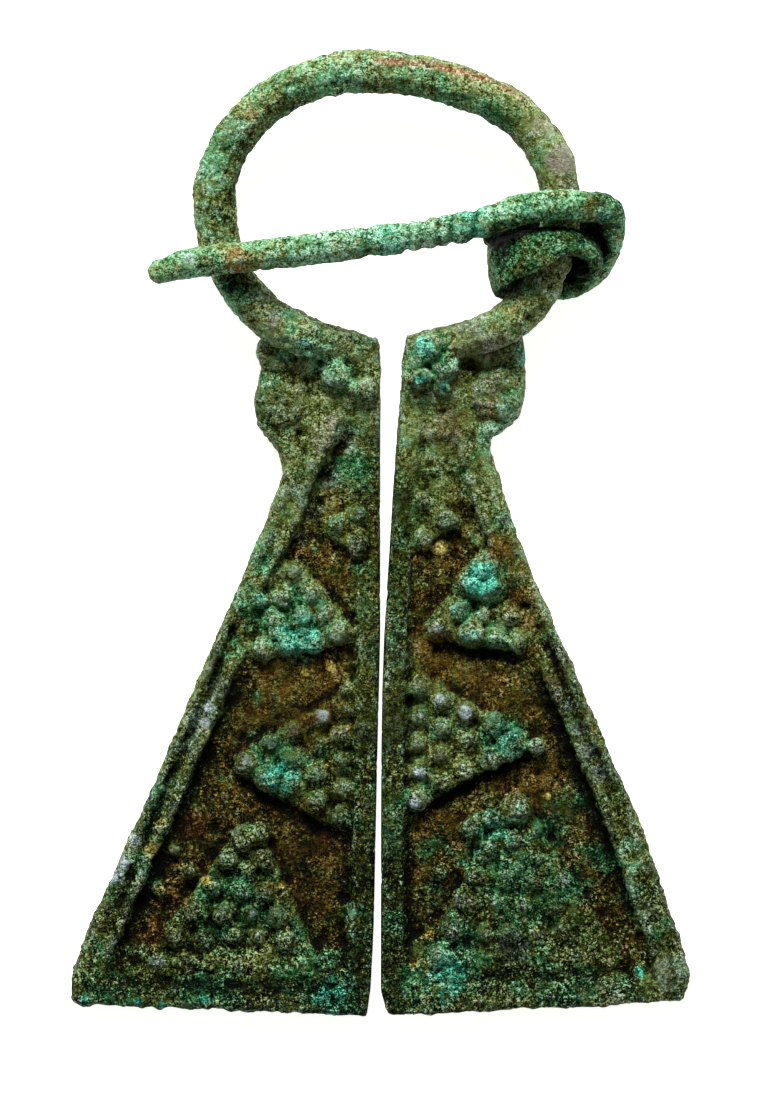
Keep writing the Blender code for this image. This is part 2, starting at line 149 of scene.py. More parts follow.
# %% Places of the granules
LEFT_GRANULES = (
    (-3.2, 0.6, 0.66), (-1.45, 1.4, 0.62), (-1.6, -0.75, 0.98), (-6.4, -2.8, 0.82),
    (-7.0, -4.6, 0.74), (-5.0, -4.4, 0.78), (-7.75, -6.2, 0.7), (-5.6, -5.9, 0.66),
    (-4.0, -5.8, 0.76), (-8.5, -8.4, 0.88), (-6.75, -8.0, 0.8), (-4.95, -7.8, 0.84),
    (-3.0, -7.15, 0.88), (-8.8, -4.8, 0.55), (-7.5, -7.2, 0.6), (-9.8, -16.7, 0.92),
    (-7.9, -15.2, 0.74), (-8.2, -17.8, 0.98), (-6.25, -14.3, 0.76), (-6.25, -16.3, 0.66),
    (-6.45, -18.35, 0.88), (-4.25, -13.3, 0.76), (-4.4, -15.4, 0.66), (-4.6, -17.4, 0.76),
    (-4.6, -19.5, 0.88), (-2.4, -11.3, 0.6), (-2.3, -12.7, 0.52), (-2.8, -14.5, 0.72),
    (-2.7, -16.6, 0.74), (-2.75, -18.5, 0.76), (-2.9, -20.5, 0.88),
)
WORN_LEFT_GRANULES = (
    (-9.9, -22.1, 1.05), (-8.7, -21.7, 0.85), (-8.5, -23.7, 0.82), (-11.1, -23.6, 0.8),
    (-9.6, -24.4, 0.66), (-12.1, -25.7, 0.66), (-10.1, -25.9, 0.76), (-8.4, -26.1, 0.8),
    (-13.55, -27.5, 0.86), (-11.3, -27.6, 0.86), (-9.4, -27.6, 0.7), (-7.3, -27.8, 0.92),
    (-14.8, -29.2, 0.98), (-12.95, -29.5, 0.78), (-10.7, -29.2, 0.72), (-9.0, -29.3, 0.66),
    (-6.8, -29.5, 0.88), (-16.1, -31.2, 0.92), (-14.05, -31.2, 0.76), (-12.2, -31.2, 0.74),
    (-10.2, -31.4, 0.8), (-8.4, -31.5, 0.84), (-5.8, -31.7, 0.96), (-4.1, -30.9, 0.45),
    (-16.0, -25.8, 0.55), (-13.8, -24.5, 0.5), (-14.9, -22.9, 0.45),
)
RIGHT_GRANULES = (
    (3.0, 2.4, 0.7), (4.75, 1.1, 0.86), (3.05, -0.3, 0.84), (7.8, -2.5, 1.1), (6.6, -3.8, 0.84),
    (7.9, -4.0, 0.95), (5.6, -5.6, 0.78), (7.5, -5.8, 0.6), (9.3, -6.0, 0.66), (4.5, -6.8, 0.86),
    (6.7, -7.3, 0.98), (8.5, -7.5, 0.8), (10.1, -8.0, 0.82), (2.8, -11.2, 0.88),
    (4.45, -12.1, 0.76), (2.9, -13.2, 0.6), (6.2, -13.0, 0.84), (4.5, -14.1, 0.68),
    (2.8, -15.2, 0.6), (8.3, -13.7, 0.84), (6.4, -15.0, 0.7), (4.3, -16.0, 0.7),
    (2.85, -17.2, 0.78), (9.5, -15.5, 1.02), (8.0, -16.4, 0.94), (6.2, -17.2, 0.78),
    (4.5, -18.0, 0.84), (2.7, -19.2, 1.02), (11.4, -15.4, 0.66),
)
WORN_RIGHT_GRANULES = (
    (9.9, -20.0, 1.15), (11.4, -21.5, 0.6), (8.1, -20.6, 0.55), (6.5, -21.3, 0.55),
    (9.6, -22.1, 0.76), (8.2, -22.8, 0.7), (11.2, -23.4, 0.72), (6.9, -24.9, 0.8),
    (9.1, -25.1, 0.76), (4.4, -24.6, 0.62), (11.0, -25.3, 0.7), (13.4, -25.1, 0.62),
    (6.3, -26.8, 0.94), (8.4, -26.8, 0.76), (10.5, -27.0, 0.7), (12.6, -27.1, 0.72),
    (5.4, -28.7, 0.98), (7.6, -29.0, 0.7), (9.3, -29.2, 0.86), (11.4, -29.0, 0.78),
    (13.3, -28.9, 0.7), (4.3, -30.6, 1.02), (6.3, -31.0, 0.8), (8.8, -30.8, 0.84),
    (10.6, -31.0, 0.84), (12.5, -30.6, 0.76), (14.5, -31.2, 0.7), (15.2, -29.2, 0.55),
)
GRANULE_HEIGHT = 1.72
WORN_HEIGHT = 1.60
LARGE_GRANULES = (
    (-3.2, 11.5, 2.9, 1.15), (-1.1, 10.4, 2.8, 1.02), (-2.1, 10.3, 2.7, 0.62),
    (3.5, 13.5, 3.1, 1.0), (4.7, 12.0, 2.9, 1.02), (2.85, 11.2, 2.8, 0.78), (4.5, 10.7, 2.7, 0.62),
    (2.7, 12.4, 2.8, 0.62),
)

CRISP_GRANULES = LEFT_GRANULES + WORN_LEFT_GRANULES + RIGHT_GRANULES
balls = [(x, y, GRANULE_HEIGHT, r) for x, y, r in CRISP_GRANULES]
balls += [(x, y, WORN_HEIGHT, r) for x, y, r in WORN_RIGHT_GRANULES]
balls += LARGE_GRANULES
print(len(balls), "granules")

# %% [markdown]
# The solid's domes are found by where they stand: higher than their pads, and inside one of the
# eight triangles. A row of the table is the three corners of a triangle.

# %% Pressing the solid's domes down to their pads
PAD_TRIANGLES = (
    ((-3.2, 0.4), (-1.4, 1.5), (-1.4, -0.8)), ((-6.5, -2.5), (-9.2, -7.6), (-3.0, -8.2)),
    ((-9.8, -16.7), (-2.4, -12.6), (-2.4, -20.9)), ((-9.4, -21.8), (-15.4, -31.5), (-4.0, -31.8)),
    ((4.8, 1.1), (2.9, 2.2), (2.9, -0.1)), ((7.7, -2.2), (5.0, -7.8), (10.8, -7.4)),
    ((9.8, -15.1), (2.6, -11.1), (2.6, -19.1)), ((10.0, -19.9), (3.5, -31.0), (16.2, -31.0)),
)
DOME_REACH = 1.15
PAD_TOP = 1.72
RIM_SIDE = 1.9
DOME_TOP = 2.6


def inside_triangle(x, y, corners, reach):
    """Whether a place is in the triangle, or within the given reach of it."""
    middle = sum((Vector(corner) for corner in corners), Vector((0, 0))) / 3
    for first, second in zip(corners, corners[1:] + corners[:1]):
        side = Vector(second) - Vector(first)
        out = Vector((side.y, -side.x)).normalized()
        if out.dot(middle - Vector(first)) > 0:
            out = -out
        if out.dot(Vector((x, y)) - Vector(first)) > reach:
            return False
    return True


def press_domes(bm):
    """Lowers the solid's granules to the tops of their pads."""
    pressed = 0
    for vert in bm.verts:
        x, y, z = vert.co / MM
        if PAD_TOP < z < DOME_TOP and abs(x) > RIM_SIDE:
            if any(inside_triangle(x, y, corners, DOME_REACH) for corners in PAD_TRIANGLES):
                vert.co.z = PAD_TOP * MM
                pressed += 1
    print(pressed, "points of domes pressed down")


# %% [markdown]
# ## The wound end of the pin
# Between the shank and the wound end there is only darkness to be seen: the flattened wire runs on
# behind the bar there. Rows of balls round the bar's back, which melt into one skin in the next
# step, give that hidden turn its breadth, so that no card shows through the coil. A few more join
# it to the front turn and fill the wedge behind the shank. Later they get painted shade, so that
# they read as that darkness.

# %% The hidden turn behind the bar
COIL_MIDDLE = Vector((12.444, 21.052, 3.571))
COIL_AXIS = Vector((0.221834, 0.975084, 0.0))
COIL_RIGHT = Vector((0.975084, -0.221834, 0.0))
HIDDEN_RADIUS = 2.62
HIDDEN_THICKNESS = 0.42
HIDDEN_DEGREES = range(92, 270, 8)
HIDDEN_BREADTH = np.arange(-1.6, 1.5, 0.35)
JOINING_THICKNESS = 0.5
JOINING_PLACES = (
    (278, 0.9, 2.55), (286, 0.8, 2.6), (294, 0.7, 2.7), (278, 0.4, 2.6), (286, 0.3, 2.7),
    (294, 0.2, 2.8), (278, 1.3, 2.5), (288, 1.2, 2.45),
)
BEHIND_THE_SHANK = (
    (7.9, 21.5), (8.5, 21.7), (9.1, 21.9), (9.7, 22.0), (10.3, 22.1), (10.9, 22.2), (11.5, 22.2),
    (9.4, 21.4), (10.2, 21.5), (14.3, 22.4), (14.9, 22.3), (15.4, 22.2), (14.7, 21.8),
    (15.3, 21.7),
)
BEHIND_LAYERS = ((0.0, 3.4), (-0.2, 2.6))


def around_bar(degrees, up, radius=HIDDEN_RADIUS):
    """A place on the coil: degrees from the front over the right side, and mm up the bar."""
    turn = math.radians(degrees)
    out = COIL_RIGHT * math.sin(turn) + Vector((0, 0, 1)) * math.cos(turn)
    return COIL_MIDDLE + out * radius + COIL_AXIS * up


hidden_turn = []
for degrees in HIDDEN_DEGREES:
    for up in HIDDEN_BREADTH:
        hidden_turn.append((*around_bar(degrees, up), HIDDEN_THICKNESS))
for degrees, up, radius in JOINING_PLACES:
    hidden_turn.append((*around_bar(degrees, up, radius), JOINING_THICKNESS))
for x, y in BEHIND_THE_SHANK:
    for shift, z in BEHIND_LAYERS:
        hidden_turn.append((x, y + shift, z, JOINING_THICKNESS))
print(len(hidden_turn), "balls in the hidden turn")

# %% [markdown]
# ## An even mesh to carve
# A caster's wax has no facets. Each solid is copied, and Blender's voxel remesh gives it small
# square faces of one size, which later steps can push in and out. Balls put into the copy first
# melt into one skin with it, so the granules come out round. The slit between the terminals is
# narrower than such a face, so the two sides are moved apart for the remesh and back after it.
# The slit's middle isn't straight, so it is a table of y and x.

# %% The slit, opened and closed
SLIT_LINE = (
    (14.0, 0.95), (9.0, 0.62), (4.0, 0.36), (0.0, 0.22), (-9.0, 0.1), (-16.0, -0.06),
    (-28.0, -0.2), (-35.0, -0.3),
)
SLIT_REACH = 5.0
SLIT_OPENING = 0.34
SLIT_LEFT_OPEN = 0.05
FULL_OPENING_BELOW = 16.0
NO_OPENING_ABOVE = 28.0


def slit_middle(y):
    heights, middles = zip(*sorted(SLIT_LINE))
    return np.interp(y, heights, middles)


def opening_share(y):
    """1 where the slit is opened in full, fading to 0 on the hoop, which has no slit."""
    return np.clip((NO_OPENING_ABOVE - y) / (NO_OPENING_ABOVE - FULL_OPENING_BELOW), 0, 1)


def open_slit(points):
    """Moves points sideways from the slit's middle, less the further they are from it."""
    middle = slit_middle(points[:, 1])
    opening = SLIT_OPENING * opening_share(points[:, 1])
    away = points[:, 0] - middle
    reach = np.abs(away)
    moved = np.where(reach < SLIT_REACH, opening + reach * (1 - opening / SLIT_REACH), reach)
    return np.column_stack((middle + np.sign(away) * moved, points[:, 1], points[:, 2]))


def close_slit(points):
    """The way back of open_slit, which leaves the slit a little wider than it was."""
    middle = slit_middle(points[:, 1])
    share = opening_share(points[:, 1])
    opening = SLIT_OPENING * share
    away = points[:, 0] - middle
    reach = np.abs(away)
    closed = (reach - opening) / (1 - opening / SLIT_REACH)
    widened = closed + SLIT_LEFT_OPEN * share * np.clip(1 - closed / SLIT_REACH, 0, 1)
    moved = np.where(reach < SLIT_REACH, widened, reach)
    return np.column_stack((middle + np.sign(away) * moved, points[:, 1], points[:, 2]))


print("slit opened by", 2 * SLIT_OPENING, "mm for the remesh")

# %% [markdown]
# The casting's faces are 0.23 mm wide, which shows its finest grains of 0.4 mm and keeps it under
# 200,000 triangles. The wire is thinner and gets smaller faces. Long edges of the solid are cut
# first, so that they can bend where the slit is opened.

# %% Copying a solid into an even mesh
CASTING_FACE = 0.228
WIRE_FACE = 0.13
LONG_EDGE = 2
EDGE_CUTS = 3
BALL_FLATNESS = 0.94


def points_of(piece):
    """The piece's points in mm."""
    flat = np.empty(len(piece.data.vertices) * 3)
    piece.data.vertices.foreach_get("co", flat)
    return flat.reshape(-1, 3) / MM


def place_points(piece, points):
    piece.data.vertices.foreach_set("co", (points * MM).ravel())
    piece.data.update()


def even_copy(name, node, face, balls, terminals=False):
    """The node's form as one even mesh, with balls (x, y, z, radius) melted into it."""
    bm = bmesh.new()
    bm.from_mesh(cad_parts[node].data)
    if terminals:
        press_domes(bm)
        long_edges = [edge for edge in bm.edges if edge.calc_length() > LONG_EDGE * MM]
        bmesh.ops.subdivide_edges(bm, edges=long_edges, cuts=EDGE_CUTS)
    for x, y, z, radius in balls:
        place = Matrix.Translation(Vector((x, y, z)) * MM)
        place = place @ Matrix.Diagonal((1, 1, BALL_FLATNESS, 1))
        bmesh.ops.create_icosphere(bm, subdivisions=2, radius=radius * MM, matrix=place)
    mesh = bpy.data.meshes.new(name)
    bm.to_mesh(mesh)
    bm.free()
    piece = add_object(name, mesh)
    if terminals:
        place_points(piece, open_slit(points_of(piece)))
    remesh = piece.modifiers.new("even faces", "REMESH")
    remesh.mode = "VOXEL"
    remesh.voxel_size = face * MM
    graph = bpy.context.evaluated_depsgraph_get()
    piece.data = bpy.data.meshes.new_from_object(piece.evaluated_get(graph))
    piece.modifiers.clear()
    if terminals:
        place_points(piece, close_slit(points_of(piece)))
    print(name, len(piece.data.polygons), "square faces")
    return piece


body = even_copy("patinated_body", "brooch_body", CASTING_FACE, balls, terminals=True)
pin = even_copy("patinated_pin", "pin", WIRE_FACE, hidden_turn)

# %% [markdown]
# ## Tools for corroded metal
# Corrosion is worked in numpy, on all points of a mesh at once. The first tool is a blur along the
# mesh's own edges. It softens a shape, and it also tells high from low: a point that stands above
# its blurred place is a crest, where hands and cleaning have rubbed the skin pale and a little
# painted sheen is added, and one below it is a hollow that holds soil and gets painted shade.

# %% Reading and blurring a mesh
def normals_of(piece):
    flat = np.empty(len(piece.data.vertices) * 3)
    piece.data.vertex_normals.foreach_get("vector", flat)
    return flat.reshape(-1, 3)


def edges_of(piece):
    """The two ends of every edge, as the numbers of its points."""
    flat = np.empty(len(piece.data.edges) * 2, dtype=np.int64)
    piece.data.edges.foreach_get("vertices", flat)
    return flat.reshape(-1, 2)


def blurred(values, edges, passes):
    """Values averaged with their neighbours' along the edges, again and again."""
    ends = edges.ravel()
    others = edges[:, ::-1].ravel()
    count = np.bincount(ends, minlength=len(values))
    columns = values.reshape(len(values), -1).copy()
    for _ in range(passes):
        for k in range(columns.shape[1]):
            around = np.bincount(ends, weights=columns[others, k], minlength=len(values)) / count
            columns[:, k] = (columns[:, k] + around) / 2
    return columns.reshape(values.shape)


body_points = points_of(body)
body_edges = edges_of(body)
edge_lengths = np.linalg.norm(np.diff(body_points[body_edges], axis=1)[:, 0], axis=1)
print("the casting's edges are", edge_lengths.mean().round(3), "mm long")

# %% [markdown]
# The other tools say where something is: a noise with lumps of a given size, a smooth step, round
# patches at named places, and a mark along a broken line. What they give can be kept on the mesh,
# one number a point, for the material to read.

# %% Noise, patches and lines
def grain(points, size, octaves, seed):
    """Noise of about -1 to 1 with lumps of about the given size in mm."""
    shift = Vector((seed * 7.31, seed * 3.17, seed * 5.77))
    return np.array([
        noise.fractal(Vector(p) / size + shift, 1.0, 2.0, octaves) for p in points.tolist()
    ])


def ramp(values, low, high):
    """0 below low, 1 above high, smooth between."""
    share = np.clip((values - low) / (high - low), 0, 1)
    return share * share * (3 - 2 * share)


def patches(points, places):
    """How far each point is inside the round patches (x, y, radius, strength), from the front."""
    inside = np.zeros(len(points))
    for x, y, radius, strength in places:
        distance = np.hypot(points[:, 0] - x, points[:, 1] - y) / radius
        inside = np.maximum(inside, strength * ramp(-distance, -1.25, -0.35))
    return inside


def along_line(points, line, fade):
    """Distance in mm from a broken line in the front view, and a number that fades at its ends."""
    beside = np.full(len(points), np.inf)
    way = np.zeros(len(points))
    length = 0
    for start, end in zip(np.array(line[:-1]), np.array(line[1:])):
        step = np.linalg.norm(end - start)
        share = np.clip((points[:, :2] - start) @ (end - start) / step, 0, step)
        away = np.linalg.norm(points[:, :2] - start - np.outer(share / step, end - start), axis=1)
        way = np.where(away < beside, length + share, way)
        beside = np.minimum(beside, away)
        length += step
    return beside, ramp(way, -0.01, fade) * ramp(-way, -length - 0.01, -length + fade)


def line_mark(points, line, width, fade):
    """1 on the line, next to nothing two widths beside it, and fading at its ends."""
    beside, between = along_line(points, line, fade)
    return np.exp(-(beside / width) ** 2) * between


def keep_numbers(piece, name, values):
    """Stores one number a point on the mesh, for the material to read."""
    layer = piece.data.attributes.new(name, "FLOAT", "POINT")
    layer.data.foreach_set("value", values.astype(np.float32))


print("1 mm noise", grain(np.array([(x / 3, 0.1, 0.2) for x in range(4)]), 1.0, 2, 0).round(2))

# %% [markdown]
# ## Silt and worn steps
# Some places had lost the casting's sharp form before any crust grew. Soil has set hard in the
# narrow tops of the fields and along the feet, up to a level below the rims, and in the corners
# where the hoop's arms meet the plates. Only the front and the walls next to it are filled, so the
# back stays flat. Elsewhere wear has flattened every step, which is a long blur. A row is x, y,
# radius and strength.

# %% Silt, filled corners and worn steps
SILT = (
    (4.4, 10.3, 2.0, 1.0), (4.3, 8.0, 1.9, 0.9), (4.4, 5.6, 1.9, 0.65), (4.6, 3.4, 1.8, 0.35),
    (-1.9, 10.2, 1.8, 1.0), (-2.2, 8.6, 1.4, 0.8), (-1.8, 6.4, 1.2, 0.3), (-18.0, -32.4, 1.3, 0.4),
    (-15.0, -32.1, 2.1, 0.8), (-12.0, -32.0, 2.1, 0.9), (-9.0, -32.0, 2.1, 0.9),
    (-6.0, -32.0, 2.1, 0.9), (-3.6, -32.0, 2.1, 0.9), (2.5, -31.6, 2.1, 0.8),
    (5.0, -31.9, 2.2, 0.9), (8.0, -31.9, 2.2, 0.9), (11.0, -31.9, 2.2, 0.9),
    (14.0, -31.8, 2.1, 0.8), (16.5, -31.6, 1.3, 0.5),
)
FILLETS = (
    (5.6, 13.7, 1.3, 0.7), (7.2, 13.5, 1.4, 0.8), (8.8, 13.7, 1.3, 0.7), (10.0, 14.3, 1.0, 0.5),
    (-8.2, 13.1, 1.2, 0.6), (-6.9, 12.7, 1.3, 0.7), (-5.6, 12.6, 1.2, 0.6),
)
WORN_FLAT = (
    (-7.1, 9.8, 2.4, 0.85), (8.5, 10.1, 2.5, 0.9), (4.2, 9.6, 2.2, 0.95), (-3.6, 9.2, 1.6, 0.6),
    (9.5, -23.5, 3.0, 0.3), (10.0, -27.5, 4.4, 0.25), (12.5, -29.5, 3.2, 0.3),
    (-2.2, 8.8, 1.8, 0.85), (13.3, -25.3, 1.5, 0.6), (14.6, -28.0, 1.5, 0.7),
    (15.9, -30.4, 1.7, 0.8),
) + tuple((x, -32.6, 2.0, 0.85) for x in (*range(-19, -1, 2), *range(2, 19, 2)))
SILT_LEVEL = 2.25
FILLET_LEVEL = 3.3
DEEPEST_FILL = 1.2
WALL_PASSES = 11
WEAR_PASSES = 23

body_front = ramp(normals_of(body)[:, 2], 0.1, 0.6)
near_front = ramp(blurred(body_front, body_edges, WALL_PASSES), 0.05, 0.30)
for places, level in ((SILT, SILT_LEVEL), (FILLETS, FILLET_LEVEL)):
    filled = patches(body_points, places) * near_front
    rise = filled * np.clip(level - body_points[:, 2], 0, DEEPEST_FILL)
    body_points[:, 2] += rise
    print("filled up by at most", rise.max().round(2), "mm")
worn_flat = (patches(body_points, WORN_FLAT) * body_front)[:, None]
worn_points = blurred(body_points, body_edges, WEAR_PASSES)
body_points = body_points * (1 - worn_flat) + worn_points * worn_flat

# %% [markdown]
# Each outer rim has a groove along it, which is made a little deeper here. The real grooves are
# deeper in one place and shallower in another, so a slow noise goes along with the depth. A row
# is a groove's share of the full depth and its line, as x and y.

# %% Grooves of the outer rims
RIM_GROOVES = (
    (1.0, ((-9.3, -4.0), (-15.3, -17.8), (-16.2, -20.2), (-17.6, -23.5), (-18.3, -25.6),
           (-20.2, -30.2))),
    (0.6, ((10.6, -3.5), (12.4, -8.4), (14.6, -13.9), (16.5, -17.5), (17.8, -21.0))),
)
GROOVE_DEPTH = 0.42
GROOVE_WIDTH = 0.30
GROOVE_FADE = 3

grooved = np.zeros(len(body_points))
for share, line in RIM_GROOVES:
    groove = line_mark(body_points, line, GROOVE_WIDTH, GROOVE_FADE)
    grooved = np.maximum(grooved, share * groove * body_front)
uneven = 0.55 + 0.45 * ramp(grain(body_points, 2.0, 2, 21), -0.4, 0.3)
body_points[:, 2] -= GROOVE_DEPTH * grooved * uneven
place_points(body, body_points)
print("grooves", (GROOVE_DEPTH * (grooved * uneven).max()).round(2), "mm deep")

# %% [markdown]
# ## Corroding the casting
# Three sizes of unevenness lie on each other: slow waves left by the casting, lumps of crust about
# a millimetre across, and fine grains and pits. Crusted places swell, rubbed places are smoother,
# and the flat back only pits, so that the brooch still lies flat. First the solid's own grooves
# and steps are sharpened a little, because the remesh has softened them. Sizes and heights are in
# mm.

# %% Waves, lumps, grains and pits
SOFT_PASSES = 8
SHARPENING = 0.55
SHARPEST = 0.25
WAVE_SIZE, WAVE_HEIGHT = 2.8, 0.12
LUMP_SIZE, LUMP_HEIGHT = 1.1, 0.12
GRAIN_SIZE, GRAIN_HEIGHT = 0.42, 0.09
PIT_SIZE, PIT_DEPTH = 0.8, 0.20
CRUST_SIZE, CRUST_HEIGHT, CRUST_LEAST = 0.7, 0.22, 0.03
CARPET_SIZE = 0.62
BACK_PIT_DEPTH = 0.06
SETTLING = 0.02
RUBBED_SMOOTHNESS = 0.7


def corrode(piece, seed, swell, calm, depth, spare, lumps_at=0.0, carpet=0.0):
    """Pushes a piece's points along their normals, and returns them.

    swell, calm, spare, lumps_at and carpet are numbers for every point: how much crust swells
    it, how smooth it was rubbed, how far it is kept from standing out, and the heights in mm of
    the single lumps and of the carpet of crust on it.
    """
    points = points_of(piece)
    edges = edges_of(piece)
    soft = blurred(points, edges, SOFT_PASSES)
    points = blurred(points, edges, 1)
    normals = blurred(normals_of(piece), edges, 2)
    crispness = ((points - soft) * normals).sum(axis=1)
    crispness = np.clip(crispness, -SHARPEST, SHARPEST) * SHARPENING
    waves = grain(points, WAVE_SIZE, 2, seed) * WAVE_HEIGHT
    lumps = grain(points, LUMP_SIZE, 3, seed + 1) * LUMP_HEIGHT
    grains = grain(points, GRAIN_SIZE, 2, seed + 2) * GRAIN_HEIGHT
    pits = ramp(grain(points, PIT_SIZE, 2, seed + 3), 0.25, 0.75) * -PIT_DEPTH
    uneven_skin = (lumps + grains + pits) * (1 - RUBBED_SMOOTHNESS * calm)
    push = depth * (waves + uneven_skin + crispness - SETTLING)
    crust = ramp(grain(points, CRUST_SIZE, 3, seed + 4), -0.5, 0.4)
    push = push + swell * (CRUST_LEAST + CRUST_HEIGHT * crust) + lumps_at * (0.6 + 0.4 * crust)
    tufts = ramp(grain(points, CARPET_SIZE, 3, seed + 5), -0.5, 0.6)
    push = push + carpet * (1.4 * tufts - 0.4)
    behind = ramp(-normals[:, 2], 0.4, 0.8) * ramp(-points[:, 2], -0.8, -0.3)
    push = push * (1 - behind) - behind * BACK_PIT_DEPTH * ramp(lumps, 0, 0.1)
    push = np.where(push > 0, push * (1 - spare), push)
    print(piece.name, "pushed by", np.percentile(push, (1, 50, 99)).round(2), "mm")
    points = points + normals * push[:, None]
    points[:, 2] = np.maximum(points[:, 2], 0)
    place_points(piece, points)
    return points


# %% [markdown]
# Green crust is a mineral that takes up more room than the metal it grew from, so it stands up.
# It is thickest among the granules, round the lobes and on the feet. Rubbed places lie on the
# hoop, its arms and the tops of the terminals. A row is x, y, radius and strength, and for the
# single lumps, the hollows and the carpet the strength is a height in mm. The two sides of the
# slit are spared, so that they stay clear of each other.

# %% Crusts and lumps of the casting
TURQUOISE_CRUST = (
    (-5.3, 13.5, 1.2, 0.8), (-5.8, -7.7, 2.5, 0.9), (-8.6, -4.6, 0.9, 0.8),
    (-7.2, -17.7, 1.7, 0.95), (-8.6, -16.7, 0.7, 0.6), (-3.5, -33.2, 1.9, 0.9),
    (-0.9, 3.2, 1.0, 0.6), (-21.4, -33.9, 0.6, 1.1), (-15.9, -34.2, 0.5, 1.1),
    (-12.7, -33.8, 0.5, 0.9), (-19.0, -33.1, 0.6, 0.8), (-17.5, -33.9, 0.5, 0.8),
    (-9.4, -34.1, 0.9, 0.5), (3.3, 13.5, 1.2, 0.85), (3.0, 11.2, 0.8, 0.9), (4.6, 10.6, 0.7, 0.9),
    (10.3, 13.2, 1.1, 0.8), (7.3, -3.3, 1.7, 1.2), (9.3, -15.1, 1.9, 0.8), (8.5, -13.6, 0.9, 0.7),
    (6.5, -7.3, 1.2, 0.7), (5.6, -5.6, 0.8, 0.6), (8.0, -21.6, 3.2, 0.65), (6.2, -23.5, 1.4, 0.5),
    (4.9, -32.0, 2.3, 0.8), (2.9, -33.8, 2.2, 0.5), (18.8, -31.8, 0.7, 0.9),
    (15.9, -33.1, 1.9, 0.45), (-9.8, 28.6, 1.3, 0.5), (13.4, 22.0, 0.7, 0.6),
    (10.1, 14.8, 1.0, 0.5),
)
MINT_CRUST = (
    (5.0, 12.3, 1.0, 0.8), (9.1, 8.8, 1.2, 0.7), (8.1, 7.5, 1.2, 0.8), (-2.2, -27.4, 0.7, 0.9),
    (-2.2, -29.1, 0.7, 0.9), (18.3, -22.5, 1.2, 0.85), (18.8, -24.2, 1.0, 0.7),
    (-16.1, -18.7, 0.8, 0.9), (-16.6, -19.8, 0.7, 0.8), (-18.3, -23.5, 1.0, 0.6),
    (-17.9, -22.2, 0.7, 0.6), (-10.5, 29.3, 1.6, 0.7), (-12.0, 25.7, 1.7, 0.7),
    (-12.3, 23.1, 1.3, 0.6), (-2.2, 33.3, 2.5, 0.6), (-5.8, 32.6, 1.7, 0.5), (2.9, 33.3, 1.4, 0.4),
    (-2.5, 14.8, 0.9, 0.4), (-7.8, 15.7, 0.9, 0.5), (-8.6, 17.0, 1.0, 0.6), (9.3, 14.1, 0.7, 0.4),
    (10.0, -20.0, 0.9, 0.7), (-14.9, -29.2, 0.6, 0.6), (8.4, -26.6, 0.5, 0.8),
)
RUBBED_METAL = (
    (13.0, 26.9, 1.5, 0.8), (13.5, 25.2, 1.3, 0.5), (11.6, 29.4, 1.4, 0.5), (-7.6, 15.4, 0.9, 0.6),
    (6.5, 15.5, 1.9, 0.5), (8.0, 13.7, 1.7, 0.5), (4.7, 8.3, 1.2, 0.5), (-4.3, 6.8, 1.6, 0.5),
    (-5.8, 3.9, 0.9, 0.4), (-3.6, 8.3, 1.0, 0.5), (-2.2, 13.7, 1.0, 0.4), (7.6, 10.0, 1.9, 0.45),
    (3.7, 7.4, 1.7, 0.4), (4.4, 9.6, 1.4, 0.4),
)
CRUST_LUMPS = (
    (4.4, -1.1, 0.7, 0.35), (-3.6, -9.7, 0.5, 0.25), (-5.5, -10.1, 0.5, 0.22),
    (3.6, -29.1, 0.5, 0.35), (12.2, -19.1, 0.35, 0.3), (8.0, -9.4, 0.3, 0.3),
    (8.7, -9.5, 0.35, 0.3), (7.4, -21.8, 2.0, 0.3), (9.6, -23.5, 1.8, 0.25),
    (5.8, -31.6, 1.8, 0.3), (16.9, -30.8, 1.0, 0.25), (2.6, -32.5, 0.6, 0.3),
    (-4.1, -21.9, 0.4, 0.2), (-13.6, -21.0, 1.2, 0.18), (-2.2, -28.3, 0.8, 0.12),
    (8.6, 11.4, 0.8, 0.22), (9.6, 9.6, 0.7, 0.25), (7.6, 9.2, 0.8, 0.2), (8.2, 7.7, 0.8, 0.22),
    (-8.2, 12.0, 0.7, 0.2), (-8.6, 9.8, 0.6, 0.2), (-6.0, 8.4, 0.8, 0.2), (-5.6, 10.9, 0.6, 0.18),
    (-2.6, 14.1, 0.8, 0.25), (-5.0, 15.0, 0.9, 0.25), (9.0, 1.2, 0.8, 0.12), (5.6, 0.9, 0.6, 0.4),
    (6.3, 0.2, 0.6, 0.35), (6.9, -0.5, 0.5, 0.25),
)
HOLLOWS = ((-7.1, 9.9, 0.9, 0.1), (8.5, 10.2, 1.0, 0.1), (5.0, 5.2, 0.5, 0.15))
